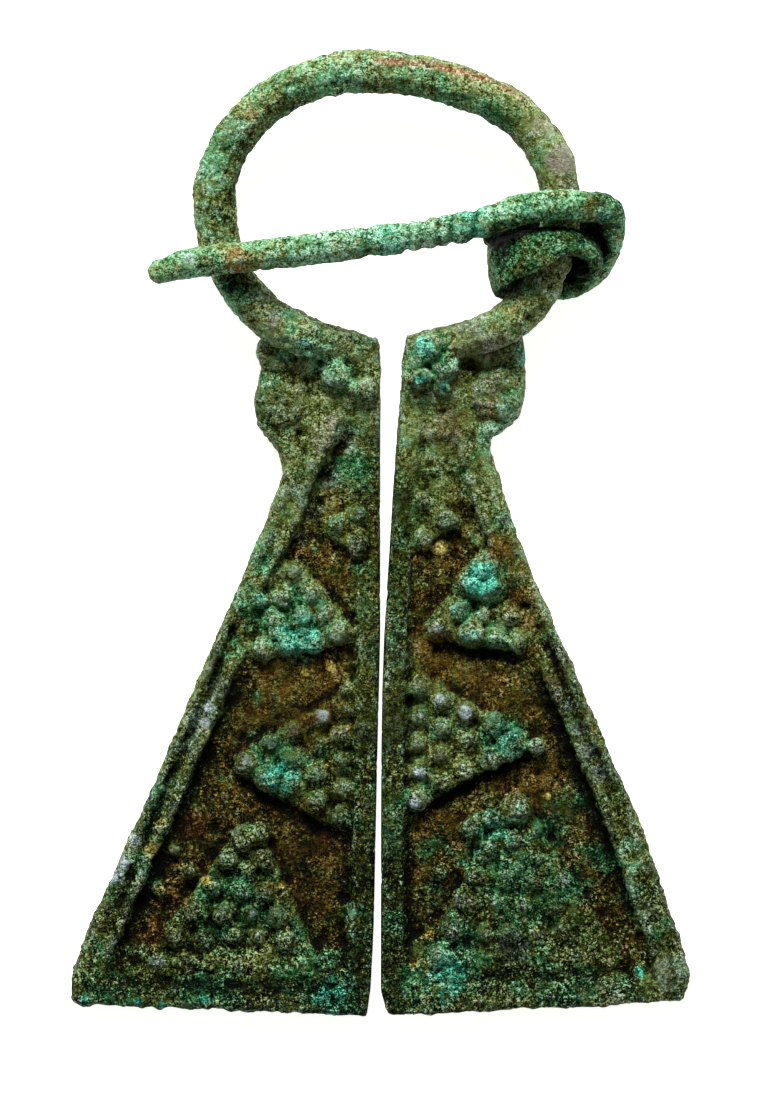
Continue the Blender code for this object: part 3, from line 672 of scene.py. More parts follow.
CRUST_CARPET = (
    (-18.5, -33.4, 2.2, 0.16), (-14.5, -33.6, 2.2, 0.16), (-10.5, -33.7, 2.2, 0.16),
    (-6.5, -33.8, 2.2, 0.16), (2.6, -33.6, 2.0, 0.16), (7.0, -33.5, 2.2, 0.15),
    (11.5, -33.3, 2.2, 0.15), (16.0, -33.2, 2.0, 0.12), (-10.2, -24.5, 2.6, 0.07),
    (-10.5, -28.0, 3.6, 0.07), (-12.5, -31.0, 3.4, 0.08), (-8.0, -31.2, 3.2, 0.08),
    (-4.8, -31.8, 2.4, 0.14), (-17.0, -31.5, 2.2, 0.12), (9.5, -22.5, 3.4, 0.12),
    (9.0, -26.5, 4.2, 0.09), (7.0, -29.5, 3.8, 0.09), (12.0, -29.5, 3.4, 0.1),
    (5.0, -31.5, 2.8, 0.12), (10.0, -31.8, 3.2, 0.12), (14.0, -31.5, 2.4, 0.12),
    (-6.2, -6.6, 3.0, 0.2), (7.4, -5.0, 2.8, 0.2), (-7.6, -16.6, 2.0, 0.18),
    (9.0, -15.2, 2.0, 0.22), (4.0, 12.6, 1.8, 0.18), (8.4, 10.2, 2.4, 0.12),
    (-7.1, 9.8, 2.4, 0.12), (-6.5, 12.8, 2.0, 0.2),
)
BODY_SEED = 3
MINT_SWELLING = 0.8

mint_swelling = MINT_SWELLING * patches(body_points, MINT_CRUST)
crusted = np.maximum(patches(body_points, TURQUOISE_CRUST), mint_swelling)
rubbed = patches(body_points, RUBBED_METAL)
standing = (patches(body_points, CRUST_LUMPS) - patches(body_points, HOLLOWS)) * body_front
carpet = patches(body_points, CRUST_CARPET) * body_front
from_slit = np.abs(body_points[:, 0] - slit_middle(body_points[:, 1]))
beside_slit = ramp(-from_slit, -0.9, -0.5) * ramp(-body_points[:, 1], -15, -13)
body_points = corrode(
    body, BODY_SEED, swell=crusted * (1 - 0.5 * beside_slit), calm=rubbed, depth=1.0,
    spare=beside_slit, lumps_at=standing, carpet=carpet,
)
print("body points", len(body_points))

# %% [markdown]
# Now the finished surface is measured. A short blur finds single grains and edges, and a long one
# finds whole rims and fields. Each height is divided by a typical one, so it is about -1 to 1.

# %% Near and wide relief
RELIEF_BLURS = ((6, 0.05), (70, 0.30))


def relief_of(piece, points):
    """How far each point stands above its surroundings, near and wide."""
    edges = edges_of(piece)
    normals = blurred(normals_of(piece), edges, 6)
    heights = []
    for passes, typical in RELIEF_BLURS:
        height = ((points - blurred(points, edges, passes)) * normals).sum(axis=1) / typical
        heights.append(np.clip(blurred(height, edges, 1), -1.5, 1.5))
        print(piece.name, "relief after", passes, np.percentile(height, (5, 50, 95)).round(2))
    return heights


body_near, body_wide = relief_of(body, body_points)

# %% [markdown]
# ## Where each colour lies
# Each kind of crust becomes a number on every point. Besides the green crusts there are silvery
# spots, yellow and rusty specks, and a deeper emerald skin over whole groups of granules. A long
# rusty scar, rubbed paler than the skin beside it, runs along the top of the hoop.

# %% Coloured patches of the casting
SILVERY_SPOTS = (
    (4.35, -12.0, 0.5, 0.9), (6.2, -13.0, 0.7, 1), (2.85, -17.4, 0.6, 0.9), (2.5, -19.5, 0.6, 1),
    (2.95, -13.2, 0.35, 0.7), (-9.7, -16.4, 0.6, 0.7), (-4.1, -13.2, 0.6, 0.7),
    (-12.4, -12.6, 0.6, 1.0), (-12.7, -13.7, 0.6, 1.0), (4.3, -6.8, 0.6, 0.7),
    (-17.8, -22.2, 0.7, 0.8), (-18.6, -23.9, 0.8, 0.8), (-19.1, -24.9, 0.7, 0.9),
    (-9.3, -27.5, 0.4, 0.7), (-16.1, -31.0, 0.7, 0.6), (-2.3, -18.3, 0.3, 0.6),
    (13.5, -25.1, 0.4, 0.4), (-1.5, 1.3, 0.5, 0.4),
)
OCHRE_CRUST = (
    (3.6, -29.1, 0.45, 1.2), (12.2, -19.1, 0.3, 1.3), (4.4, -1.1, 0.7, 1.0), (3.4, -0.9, 0.5, 0.7),
    (-3.6, -9.7, 0.5, 0.9), (-5.5, -10.1, 0.5, 0.8), (-15.9, -21.0, 0.8, 0.6),
    (-16.5, -22.9, 0.9, 0.6), (-15.9, -25.8, 0.5, 0.7), (-12.6, -25.2, 0.6, 0.8),
    (-7.1, -25.5, 0.5, 0.8), (2.4, -31.2, 0.6, 0.7), (-3.9, -16.8, 0.3, 0.8),
    (8.7, -9.5, 0.4, 0.8), (6.0, -2.6, 0.6, 0.5), (-12.5, -14.8, 1.2, 0.5),
    (16.5, -28.2, 0.8, 0.5),
)
EMERALD_SKIN = (
    (-6.5, -6.6, 3.2, 0.8), (-9.4, -4.8, 1.6, 0.9), (-8.5, -1.9, 1.3, 0.6),
    (-10.7, -8.4, 1.2, 0.5), (-7.6, -16.4, 2.6, 0.8), (-1.1, 4.6, 1.3, 0.6),
    (-10.9, -26.5, 4.0, 0.5), (-5.8, -30.9, 2.6, 0.6), (-2.5, -33.8, 2.2, 0.9),
    (-13.0, -33.8, 3.0, 0.6), (-20.3, -32.7, 1.8, 0.5), (-17.4, -24.4, 1.5, 0.7),
    (-2.9, 11.5, 1.4, 0.8), (-5.8, 13.3, 2.0, 0.5), (-6.5, 32.5, 3.2, 0.5), (-3.0, 31.6, 2.5, 0.7),
    (-12.0, 27.1, 2.6, 0.5), (-10.5, 17.0, 1.5, 0.8), (1.5, 31.0, 2.5, 0.6), (5.0, 30.5, 2.0, 0.6),
    (8.0, 29.3, 2.0, 0.7), (3.6, 13.0, 2.0, 0.9), (9.4, 9.7, 1.6, 0.7), (8.3, 6.8, 1.4, 0.7),
    (9.4, 1.0, 1.6, 0.5), (1.3, 3.9, 1.5, 0.4), (0.7, -19.3, 1.6, 0.5), (7.6, -3.3, 1.8, 1.0),
    (6.5, -5.5, 1.5, 0.7), (8.7, -7.7, 2.0, 0.6), (9.1, -14.9, 2.0, 0.9), (13.6, -19.6, 2.0, 0.6),
    (15.0, -23.5, 1.9, 0.8), (8.7, -22.9, 3.5, 0.8), (10.2, -26.5, 3.5, 0.6),
    (5.8, -30.9, 3.0, 0.8), (16.0, -23.6, 1.6, 0.8), (18.9, -26.5, 1.6, 0.7),
    (2.9, -32.7, 2.5, 0.8), (13.0, -33.0, 3.0, 0.5), (1.0, -28.5, 1.6, 0.5), (-3.2, 4.4, 1.9, 0.9),
    (13.2, -21.6, 1.8, 0.9), (14.6, -25.2, 1.7, 0.9), (4.0, -22.6, 1.6, 0.8),
    (4.0, -26.0, 1.4, 0.7),
)
RUSTY_SPECKS = (
    (-13.8, -21.4, 1.6, 0.55), (-13.6, -20.6, 0.9, 0.5), (-16.7, -28.9, 1.4, 0.5),
    (-4.1, -21.9, 0.6, 0.6), (-8.0, -25.6, 0.5, 0.5), (-2.8, -29.8, 0.6, 0.4),
    (5.4, 5.9, 0.4, 0.5), (3.8, -20.2, 0.5, 0.6), (-12.7, -25.1, 0.6, 0.4), (9.4, -18.6, 1.2, 0.4),
    (-5.8, 12.3, 1.0, 0.4), (14.7, -27.2, 0.5, 0.5), (-9.2, 30.2, 0.7, 0.5),
    (-14.6, -26.4, 1.6, 0.3), (3.0, -21.6, 1.2, 0.4), (17.4, -27.2, 0.7, 0.5),
    (2.6, -24.5, 1.2, 0.3), (-3.2, -24.6, 1.6, 0.3),
)
HOOP_SCAR = (
    (-1.5, 34.1), (3.3, 33.9), (5.9, 33.25), (7.9, 32.8), (9.5, 32.1), (11.2, 31.2), (12.4, 30.2),
)
SCAR_WIDTH = 0.42
SCAR_RUST = 0.62
SCAR_RUBBED = 0.75

front = ramp(normals_of(body)[:, 2], 0.2, 0.7)
for name, places in (
    ("turquoise", TURQUOISE_CRUST), ("mint", MINT_CRUST), ("silvery", SILVERY_SPOTS),
    ("ochre", OCHRE_CRUST), ("emerald", EMERALD_SKIN),
):
    keep_numbers(body, name, patches(body_points, places))
    print(name, len(places), "patches")
scar = line_mark(body_points, HOOP_SCAR, SCAR_WIDTH, 2) * front
rusty = np.maximum(patches(body_points, RUSTY_SPECKS), SCAR_RUST * scar)
keep_numbers(body, "rusty", rusty)
keep_numbers(body, "rubbed", np.maximum(rubbed, SCAR_RUBBED * scar))

# %% [markdown]
# Brown soil lies in the sunk fields, which are the front faces lower than the rims, and less of it
# further down. Handling has left a grey skin on granules and ridges, and the grey on their tops is
# partly a painted sheen.

# %% Soil in the fields, grey skin and painted sheen on the ridges
BROWN_SOIL = (
    (-5.8, -12.0, 4.3, 0.8), (-13.0, -21.5, 1.9, 0.8), (4.3, -8.8, 2.6, 0.9),
    (11.6, -11.3, 2.2, 0.7), (-5.8, -21.5, 2.9, 0.7), (-3.6, -1.9, 1.4, 0.5),
    (5.1, -1.9, 1.7, 0.9), (-16.7, -29.1, 1.4, 0.8), (2.9, -26.5, 1.4, 0.6), (2.9, -4.8, 1.4, 0.9),
    (8.9, -1.2, 1.6, 0.8), (10.3, -4.8, 1.3, 0.8), (3.4, -7.4, 1.3, 0.7), (10.9, -8.6, 1.2, 0.7),
    (3.2, -2.2, 1.2, 0.8), (11.0, -6.3, 1.2, 0.6), (-9.4, -11.3, 2.2, 0.8),
    (-2.9, -22.2, 1.7, 0.8), (10.1, -1.9, 1.4, 0.5), (8.0, 9.8, 2.0, 0.35), (5.4, 8.0, 2.0, 0.5),
)
GREY_SKIN = (
    (-2.5, 6.8, 1.2, 0.7), (-3.6, 3.9, 1.1, 0.7), (-4.7, 1.7, 1.0, 0.6), (-5.8, -0.4, 1.0, 0.6),
    (-6.5, 3.2, 1.0, 0.6), (-8.0, -0.4, 1.0, 0.5), (-7.0, 9.4, 2.0, 0.4), (6.5, 13.3, 2.0, 0.4),
    (8.0, 10.8, 1.6, 0.5), (5.8, 6.8, 1.5, 0.5), (-11.6, -11.3, 1.5, 0.7),
    (-13.0, -13.5, 1.5, 0.8), (-13.8, -15.3, 1.2, 0.7), (13.0, -7.7, 1.3, 0.6),
    (15.2, -12.8, 1.3, 0.5), (16.7, -17.1, 1.3, 0.5), (0.9, -9.0, 3.0, 0.4),
    (0.9, -15.0, 3.0, 0.4), (-15.8, -18.6, 1.2, 0.5), (9.6, -29.8, 1.6, 0.8),
    (5.9, -26.8, 0.9, 0.8), (5.2, -28.9, 0.9, 0.8), (4.3, -31.0, 0.9, 0.7),
    (10.2, -20.0, 0.9, 0.8), (13.3, -25.1, 0.7, 0.8), (13.7, -12.4, 0.8, 0.8),
    (14.5, -14.2, 0.8, 0.9), (15.2, -15.7, 0.8, 1.0), (16.0, -17.3, 0.9, 1.0),
    (19.5, -27.5, 1.3, 0.6), (20.9, -31.8, 1.8, 0.7), (17.0, -33.6, 1.5, 0.5),
)
FIELD_TOP = 1.75
FIELD_SOFTNESS = 0.5
GREY_ON_CRISP, GREY_ON_WORN = 0.6, 0.3
LAST_CRISP_GRANULE = -20.6

sunk = front * ramp(-body_points[:, 2], -FIELD_TOP, -FIELD_TOP + FIELD_SOFTNESS)
sunk = sunk * ramp(body_points[:, 2], 0.2, 0.8)
higher_share = ramp(-body_points[:, 1], -6, 4)
soil = sunk * (0.35 + 0.45 * higher_share)
soil = np.maximum(soil, patches(body_points, BROWN_SOIL) * front)
keep_numbers(body, "soil", soil)
on_granules = patches(body_points, [
    (x, y, 0.8 * r, GREY_ON_CRISP if y > LAST_CRISP_GRANULE else GREY_ON_WORN)
    for x, y, _, r in balls
])
# Grey on the crests of ridges: grey skin and painted sheen.
ridges = 0.6 * ramp(body_near, 0.3, 1.1) * ramp(body_points[:, 2], 1.7, 2.1)
grey_and_sheen = np.maximum(np.maximum(on_granules, ridges), patches(body_points, GREY_SKIN))
keep_numbers(body, "grey_skin_and_sheen", grey_and_sheen)
print("soil on", round(100 * (soil > 0.3).mean()), "% of the points")

# %% [markdown]
# ## How dark each place is
# Crests are a little lighter, from wear with a little painted sheen. A hollow is darker than its
# size alone would make it, with packed soil and painted shade. The skin is lighter towards the top,
# so the hoop is the palest, and the feet and the rims are the darkest. Paleness is a table of y and
# how much lighter the skin is there. Painted shadow seams are the deep dark lines beside rims and
# pads. A seam's row is its width, its fade and its line, and a dark line's row is its width and its
# line.

# %% Shade of the casting
PALENESS = (
    (-34.0, -0.06), (-27.0, -0.05), (-16.0, 0.05), (-8.0, 0.12), (0.0, 0.12), (10.0, 0.17),
    (16.0, 0.19), (24.0, 0.18), (35.0, 0.22),
)
# Painted shadow: dark seams along the lower edges of granule pads and inside the outer rims.
PAINTED_SHADOW_SEAMS = (
    (0.55, 1.5, ((-10.8, -17.4), (-7.6, -19.6), (-3.0, -22.2))),
    (0.55, 1.5, ((2.0, -20.6), (6.7, -17.9), (10.8, -16.0))),
    (0.5, 1.5, ((3.6, -8.2), (8.5, -8.9), (11.0, -8.9))),
    (0.75, 4, ((-9.0, -8.3), (-13.5, -17.5), (-15.9, -23.6), (-19.6, -31.8))),
    (0.95, 4, ((10.9, -8.3), (14.5, -17.5), (16.4, -21.5), (17.5, -24.5), (19.2, -29.6))),
)
DARK_LINES = (
    (0.5, ((-20.2, -32.3), (-14.0, -32.7), (-2.3, -32.9))), (0.5, ((6.5, -32.1), (17.5, -31.8))),
    (0.3, ((-2.5, -20.5), (-2.8, -32.4))), (0.3, ((2.0, -20.0), (2.2, -32.4))),
)
# Painted shade along the lower, inner edge of the hoop's top arc.
HOOP_UNDERSIDE_SHADE = (
    (-12.0, 21.0), (-10.9, 24.2), (-9.6, 27.6), (-5.8, 30.5), (-2.9, 31.4), (1.45, 31.8),
    (5.8, 31.2), (8.7, 30.1), (10.9, 28.4),
)
PALER = (
    (-4.4, 11.2, 2.2, 1.0), (4.0, 12.8, 2.5, 0.7), (18.6, -22.8, 1.7, 1.2),
    (20.9, -31.8, 2.1, 1.3), (7.5, -21.5, 3.0, 0.5), (19.6, -27.6, 1.5, 0.8),
    (4.4, -31.4, 1.6, 0.6), (11.0, -6.2, 1.8, 1.2), (-2.2, -27.8, 1.0, 1.6),
    (8.3, -23.0, 2.6, 0.4), (16.5, -33.5, 1.6, 0.8), (10.0, -33.6, 1.6, 0.6),
    (3.0, -33.5, 1.6, 0.6), (-18.1, -23.6, 1.9, 1.3), (7.3, -5.5, 3.0, 0.35),
    (6.0, -15.2, 3.6, 0.45),
)
# Darker patches. The two rows at x -10.6 and -9.6 are the painted shadow of the pin's shank on the
# hoop.
DARKENED_AND_SHADOWED = (
    (-10.6, 18.2, 1.5, 0.8), (-9.6, 17.3, 0.9, 0.4), (-12.8, 23.6, 1.0, 0.35),
    (9.0, 22.0, 1.0, 0.2), (8.6, 30.3, 1.2, 0.2), (-6.6, 31.6, 1.2, 0.2), (11.8, 16.4, 0.8, 0.5),
    (9.8, -30.0, 1.5, 0.25), (-4.9, 6.0, 1.6, 0.12), (-8.0, -12.5, 3.6, 0.1),
    (-4.0, -12.0, 2.4, 0.06), (-4.2, -25.0, 3.0, 0.22), (-4.0, -28.0, 2.0, 0.15),
    (4.5, -3.6, 2.6, 0.1), (3.4, 5.6, 1.8, 0.12), (-4.2, 3.9, 2.2, 0.16), (7.2, 14.8, 1.8, 0.08),
)
LOBES = ((-7.3, 9.8, 2.8, 1.0), (8.6, 10.2, 2.8, 0.6))


def shade_of(near, wide):
    """Lighter crests with a little painted sheen, and hollows darkened with painted shade and soil.
    """
    crests = 0.02 * np.clip(near, 0, 1) + 0.01 * np.clip(wide, 0, 1)
    return crests + 0.13 * np.clip(near, -1.3, 0) - 0.34 * ramp(-wide, 0.35, 1.3)


def with_marks(shade, marks):
    """The shade with marks on it, each a number for every point and how much lighter it makes."""
    for mark, lighter in marks:
        shade = shade + lighter * mark
    return shade


from_slit = np.abs(body_points[:, 0] - slit_middle(body_points[:, 1]))
inner_rims = ramp(-from_slit, -2.6, -1.6) * ramp(-body_points[:, 1], -9, -3)
outer_rims = np.zeros(len(body_points))
for _, line in RIM_GROOVES:
    beside, between = along_line(body_points, line, GROOVE_FADE)
    outer_rims = np.maximum(outer_rims, ramp(-beside, -1.9, -1.4) * between)
painted_shadow_seams = np.zeros(len(body_points))
for width, fade, line in PAINTED_SHADOW_SEAMS:
    painted_shadow_seams = np.maximum(painted_shadow_seams, line_mark(body_points, line, width, fade))
painted_shadow_seams = painted_shadow_seams * ramp(-body_points[:, 2], -2.0, -1.6)
large = patches(body_points, [(x, y, 0.9 * r, 1) for x, y, _, r in LARGE_GRANULES])
pads = patches(body_points, [(x, y, 1.5 * r, 1) for x, y, r in LEFT_GRANULES + RIGHT_GRANULES])
left_foot = ramp(-body_points[:, 1], 31.6, 32.8) * ramp(-body_points[:, 0], 0, 1)
heights, palenesses = zip(*PALENESS)
shade = shade_of(body_near, body_wide) + np.interp(body_points[:, 1], heights, palenesses)
# The rim grooves, the shadow seams and the hoop's inner edge get painted shade here.
shade = with_marks(shade, [
    (inner_rims, -0.19), (outer_rims, -0.05), (grooved * uneven, -0.24), (soil, -0.12),
    (painted_shadow_seams, -0.45), (large, -0.13), (patches(body_points, LOBES), -0.09), (pads, 0.04),
    (left_foot, -0.06), (pads * np.clip(-body_near, -0.6, 1.3), 0.08),
    (line_mark(body_points, HOOP_UNDERSIDE_SHADE, 0.8, 2), -0.16),
])
shade = with_marks(shade, [
    (line_mark(body_points, line, width, 2) * front, -0.26) for width, line in DARK_LINES
])
shade = with_marks(shade, [
    (patches(body_points, DARKENED_AND_SHADOWED), -0.4), (patches(body_points, PALER), 0.12),
])
keep_numbers(body, "shade", shade)
print("shade", np.percentile(shade, (5, 50, 95)).round(2))

# %% [markdown]
# Grit is how strongly the finest mottling shows. It is a table of y and strength, strongest on the
# feet, and some patches of the skin are calmer.

# %% Grit of the casting
GRITTINESS = (
    (-34.0, 2.1), (-31.0, 1.9), (-26.0, 1.7), (-18.0, 1.5), (-12.0, 1.15), (-6.0, 1.35),
    (5.0, 1.2), (12.0, 1.3), (18.0, 1.3), (35.0, 1.35),
)
CALM_SKIN = (
    (13.2, 27.5, 3.2, 0.55), (6.5, 15.0, 2.8, 0.45), (4.3, 8.0, 3.2, 0.4),
    (-5.8, -12.5, 3.4, 0.25), (5.0, -9.0, 3.4, 0.25), (0.8, -14.0, 3.0, 0.15),
    (8.6, 10.2, 2.4, 0.25), (-7.1, 9.8, 2.4, 0.15), (-12.0, 26.5, 2.2, 0.3),
    (20.8, -31.8, 2.2, 0.45), (-5.5, -22.5, 3.2, 0.3), (-4.5, -26.5, 2.4, 0.3),
    (-13.0, -21.8, 2.4, 0.3), (12.5, -19.8, 2.6, 0.3),
)

heights, grits = zip(*GRITTINESS)
grit = np.interp(body_points[:, 1], heights, grits) * (1 - patches(body_points, CALM_SKIN))
keep_numbers(body, "grit", grit)
print("grit", np.percentile(grit, (5, 50, 95)).round(2))

# %% [markdown]
# ## The pin
# The pin's wire was beaten and wound. Its shank has turned rings, whose rows are x and width, and
# a flattened scar near the tip. Beside the shank's head a gap winds between the turns of the coil.
# The hidden turn closes it from behind, and here it is cut deeper and given painted shadow, so that
# it reads as one dark line. In the coil only faces that look up are cut and given painted shade,
# because its back comes into view when the pin is opened.

# %% Rings and the gap in the coil
SHANK_RINGS = (
    (8.2, 0.3), (6.74, 0.26), (5.15, 0.28), (4.15, 0.22), (3.05, 0.3), (1.95, 0.22), (-0.9, 0.35),
)
COIL_GAP = (
    (7.6, 20.8), (8.4, 21.2), (9.8, 21.8), (11.4, 22.12), (13.6, 22.2), (14.9, 21.8),
    (15.9, 21.05), (16.4, 20.1), (16.5, 18.9),
)
RING_DEPTH = 0.16
GAP_DEPTH = 0.5
GAP_WIDTH = 0.34

pin_points = points_of(pin)
on_shank = ramp(pin_points[:, 2], 5.2, 5.8) * ramp(-pin_points[:, 0], -9.5, -7.5)
rings = sum(
    np.exp(-((pin_points[:, 0] - x) / width) ** 2) for x, width in SHANK_RINGS
) * on_shank
faces_up = ramp(blurred(normals_of(pin), edges_of(pin), 3)[:, 2], 0.05, 0.45)
# The gap gets painted shadow as well as a deeper cut.
in_gap = line_mark(pin_points, COIL_GAP, GAP_WIDTH, 0.8) * faces_up
in_gap = in_gap * ramp(-pin_points[:, 2], -7.1, -6.8) * ramp(pin_points[:, 2], 3.6, 4.1)
print("rings and gap touch", int((rings > 0.5).sum()), "and", int((in_gap > 0.5).sum()), "points")

# %% [markdown]
# The shank wears a pale mint crust along its upper side, and the wound end is rubbed to bare olive
# metal. A row is x, y, radius and strength.

# %% Corroding the pin
PIN_MINT = (
    (-3.0, 20.4, 4.6, 0.9), (3.4, 21.6, 3.4, 0.9), (8.6, 23.0, 1.8, 0.8), (16.3, 23.2, 1.3, 0.7),
    (-7.0, 19.7, 1.6, 0.6), (-13.6, 19.2, 2.0, 0.6), (-16.2, 19.0, 0.9, 0.5),
    (12.0, 23.9, 1.2, 0.6),
)
PIN_TURQUOISE = (
    (16.2, 22.7, 0.6, 1.0), (14.6, 20.8, 0.5, 0.9), (0.2, 20.6, 3.0, 0.8), (-6.0, 19.6, 1.6, 0.7),
    (5.8, 22.4, 3.0, 0.8), (-15.2, 18.8, 0.7, 0.5), (-3.4, 20.2, 2.2, 0.7), (9.6, 22.8, 2.0, 0.5),
)
PIN_BROWN = (
    (-10.2, 19.4, 1.4, 1.0), (14.8, 23.3, 0.8, 0.8), (16.0, 23.4, 0.6, 0.6),
    (-11.8, 19.2, 0.8, 0.6),
)
PIN_SILVERY = ((-13.6, 19.6, 0.7, 0.6), (-14.2, 19.4, 0.5, 0.5), (-10.0, 19.6, 0.4, 0.5))
PIN_SEED = 11
PIN_SWELLING = 0.3
PIN_DEPTH = 0.6
PIN_GRIT = 1.5
PIN_EMERALD = 0.6

pin_mint = patches(pin_points, PIN_MINT) * ramp(pin_points[:, 2], 5.8, 7.0)
none = np.zeros(len(pin_points))
pin_points[:, 2] -= GAP_DEPTH * in_gap
place_points(pin, pin_points - normals_of(pin) * (rings * RING_DEPTH)[:, None])
pin_points = corrode(
    pin, PIN_SEED, swell=PIN_SWELLING * pin_mint, calm=none, depth=PIN_DEPTH, spare=none,
)
pin_near, pin_wide = relief_of(pin, pin_points)
pin_turquoise = patches(pin_points, PIN_TURQUOISE) * ramp(pin_points[:, 2], 5.4, 6.6)
keep_numbers(pin, "turquoise", pin_turquoise)
keep_numbers(pin, "mint", pin_mint)
keep_numbers(pin, "soil", patches(pin_points, PIN_BROWN))
keep_numbers(pin, "silvery", patches(pin_points, PIN_SILVERY))
band = ramp(pin_points[:, 0], 7.5, 8.2) * ramp(-pin_points[:, 1], -22.6, -22.1)
keep_numbers(pin, "emerald", PIN_EMERALD - 0.1 * band)

# %% [markdown]
# The shank's upper side is the palest. Painted shade and soil fill the coil, the rings and the gap,
# and the band that leads into the coil is darker than the rest. Painted light brightens the coil's
# right side and along its lower edge, which face away from the soft box.

# %% Shade of the pin
# Painted light on the coil's right side and along its lower edge, which face away from the soft
# box.
PIN_PAINTED_LIGHT = (
    (17.8, 21.0, 1.7, 0.9), (17.4, 19.0, 1.6, 0.9), (15.8, 17.6, 1.5, 0.9), (13.8, 16.9, 1.2, 0.9),
    (7.6, 19.6, 1.2, 0.7), (8.2, 18.2, 1.2, 0.6), (15.2, 20.4, 0.9, 0.6), (15.7, 19.4, 0.8, 0.5),
)

pale_upper_shank = ramp(pin_points[:, 2], 5.6, 6.6) * ramp(-pin_points[:, 0], -17, -13)
behind_shank = patches(pin_points, [(x, y, 0.9, 1) for x, y in BEHIND_THE_SHANK])
inside_coil = ramp(-pin_points[:, 0], -15.6, -15.0) * ramp(pin_points[:, 1], 18.2, 18.8)
# Painted shade inside the coil and in the wedge behind the shank, on faces that look up.
painted_coil_shade = np.maximum(
    ramp(-pin_points[:, 2], -4.4, -3.2) * inside_coil,
    behind_shank * ramp(-pin_points[:, 2], -5.0, -4.4),
)
pin_shade = with_marks(shade_of(pin_near, pin_wide), [
    (pale_upper_shank, 0.24), (painted_coil_shade * faces_up, -0.50), (band, -0.24),
    (patches(pin_points, PIN_PAINTED_LIGHT) * (1 - in_gap), 0.6), (rings, -0.22), (in_gap, -0.9),
])
keep_numbers(pin, "shade", pin_shade)
keep_numbers(pin, "grit", none + PIN_GRIT)
for name in ("rubbed", "rusty", "ochre", "grey_skin_and_sheen"):
    keep_numbers(pin, name, none)
print("shade of the pin", np.percentile(pin_shade, (5, 50, 95)).round(2))

# %% [markdown]
# ## Patina
# Buried bronze grows layers: a dark olive skin of oxides on the metal, green malachite crust on
# that, and brown soil in the hollows. Each layer has its own tones from dark to light, as sRGB hex
# values, so that a crust can be in shade or stand in the light and still keep its hue.

# %% Tones of the layers
OLIVE_TONES = (
    (0.0, "#010200"), (0.2, "#121601"), (0.4, "#303808"), (0.55, "#4c5622"), (0.7, "#6a7743"),
    (0.85, "#879660"), (1.0, "#aab98a"),
)
GREEN_TONES = (
    (0.0, "#010602"), (0.2, "#08200c"), (0.4, "#1b4725"), (0.55, "#336a3e"), (0.7, "#4f8a5b"),
    (0.85, "#71a87c"), (1.0, "#9bcda2"),
)
GREY_TONES = (
    (0.0, "#030403"), (0.2, "#191d17"), (0.4, "#384037"), (0.55, "#545f54"), (0.7, "#748275"),
    (0.85, "#98a79a"), (1.0, "#c6d2c6"),
)
SOIL_TONES = (
    (0.0, "#030200"), (0.2, "#170f01"), (0.4, "#3a2b06"), (0.55, "#5a4713"), (0.7, "#79642c"),
    (0.85, "#96824e"), (1.0, "#b6a67a"),
)
TURQUOISE_TONES = (
    (0.0, "#010d09"), (0.2, "#062b20"), (0.4, "#115541"), (0.55, "#1c7e66"), (0.7, "#36a589"),
    (0.85, "#66c9ab"), (1.0, "#a2e6d0"),
)
MINT_TONES = (
    (0.0, "#061a0c"), (0.2, "#193f24"), (0.4, "#396a48"), (0.55, "#588c67"), (0.7, "#7dac88"),
    (0.85, "#a4ccab"), (1.0, "#cfe9cf"),
)
RUBBED_TONES = (
    (0.0, "#0c0a06"), (0.2, "#272219"), (0.4, "#4b4538"), (0.55, "#6a6355"), (0.7, "#8a8374"),
    (0.85, "#aaa395"), (1.0, "#cec8bb"),
)
SILVERY_TONES = ((0.0, "#1c2423"), (0.4, "#54625f"), (0.7, "#8a9a98"), (1.0, "#c6d2d0"))
RUSTY_TONES = (
    (0.0, "#140701"), (0.25, "#3a1f08"), (0.5, "#6e481c"), (0.75, "#a07c50"), (1.0, "#d0b491"),
)
OCHRE_TONES = (
    (0.0, "#140f02"), (0.25, "#3d3207"), (0.5, "#7b6c22"), (0.75, "#ada051"), (1.0, "#dcd196"),
)
print("middle of the olive skin", [round(c, 3) for c in srgb(OLIVE_TONES[3][1])])

# %% [markdown]
# One function adds a node. It gives the node's own settings, and for each input either a value or
# the output of another node. Most of the patina's sums are of one sort: so much of a field is
# added to what there was, counted from the field's middle, so that the mean stays.

# %% Adding nodes
def add_node(tree, kind, settings=None, inputs=None):
    """One shader node with its settings. An input gets a value or another node's output."""
    node = tree.nodes.new(kind)
    for name, value in (settings or {}).items():
        setattr(node, name, value)
    for name, value in (inputs or {}).items():
        if isinstance(value, bpy.types.NodeSocket):
            tree.links.new(value, node.inputs[name])
        else:
            node.inputs[name].default_value = value
    return node


def add_share(tree, start, field, share, middle=0.0):
    """The start, with a share of how far the field lies from its middle."""
    swing = add_node(tree, "ShaderNodeMath", {"operation": "SUBTRACT"}, {0: field, 1: middle})
    inputs = {0: swing.outputs[0], 1: share, 2: start}
    return add_node(tree, "ShaderNodeMath", {"operation": "MULTIPLY_ADD"}, inputs).outputs[0]


def kept(tree, name):
    """A number that was kept on the mesh."""
    return add_node(tree, "ShaderNodeAttribute", {"attribute_name": name}).outputs["Fac"]


# %% [markdown]
# Mottling comes in real sizes: clouds of 3 mm, blots of just under a millimetre, and grains. The
# changes of hue, the browns and the gritty places lie between, at 1.3 to 2.4 mm. Real malachite
# grains are under 0.05 mm across, which is finer than a pixel of the picture. The specks, the fine
# grains and the crystals are drawn coarser, at 0.12 to 0.34 mm, so that they show. A row is size
# in mm, detail and a shift that keeps the fields apart.

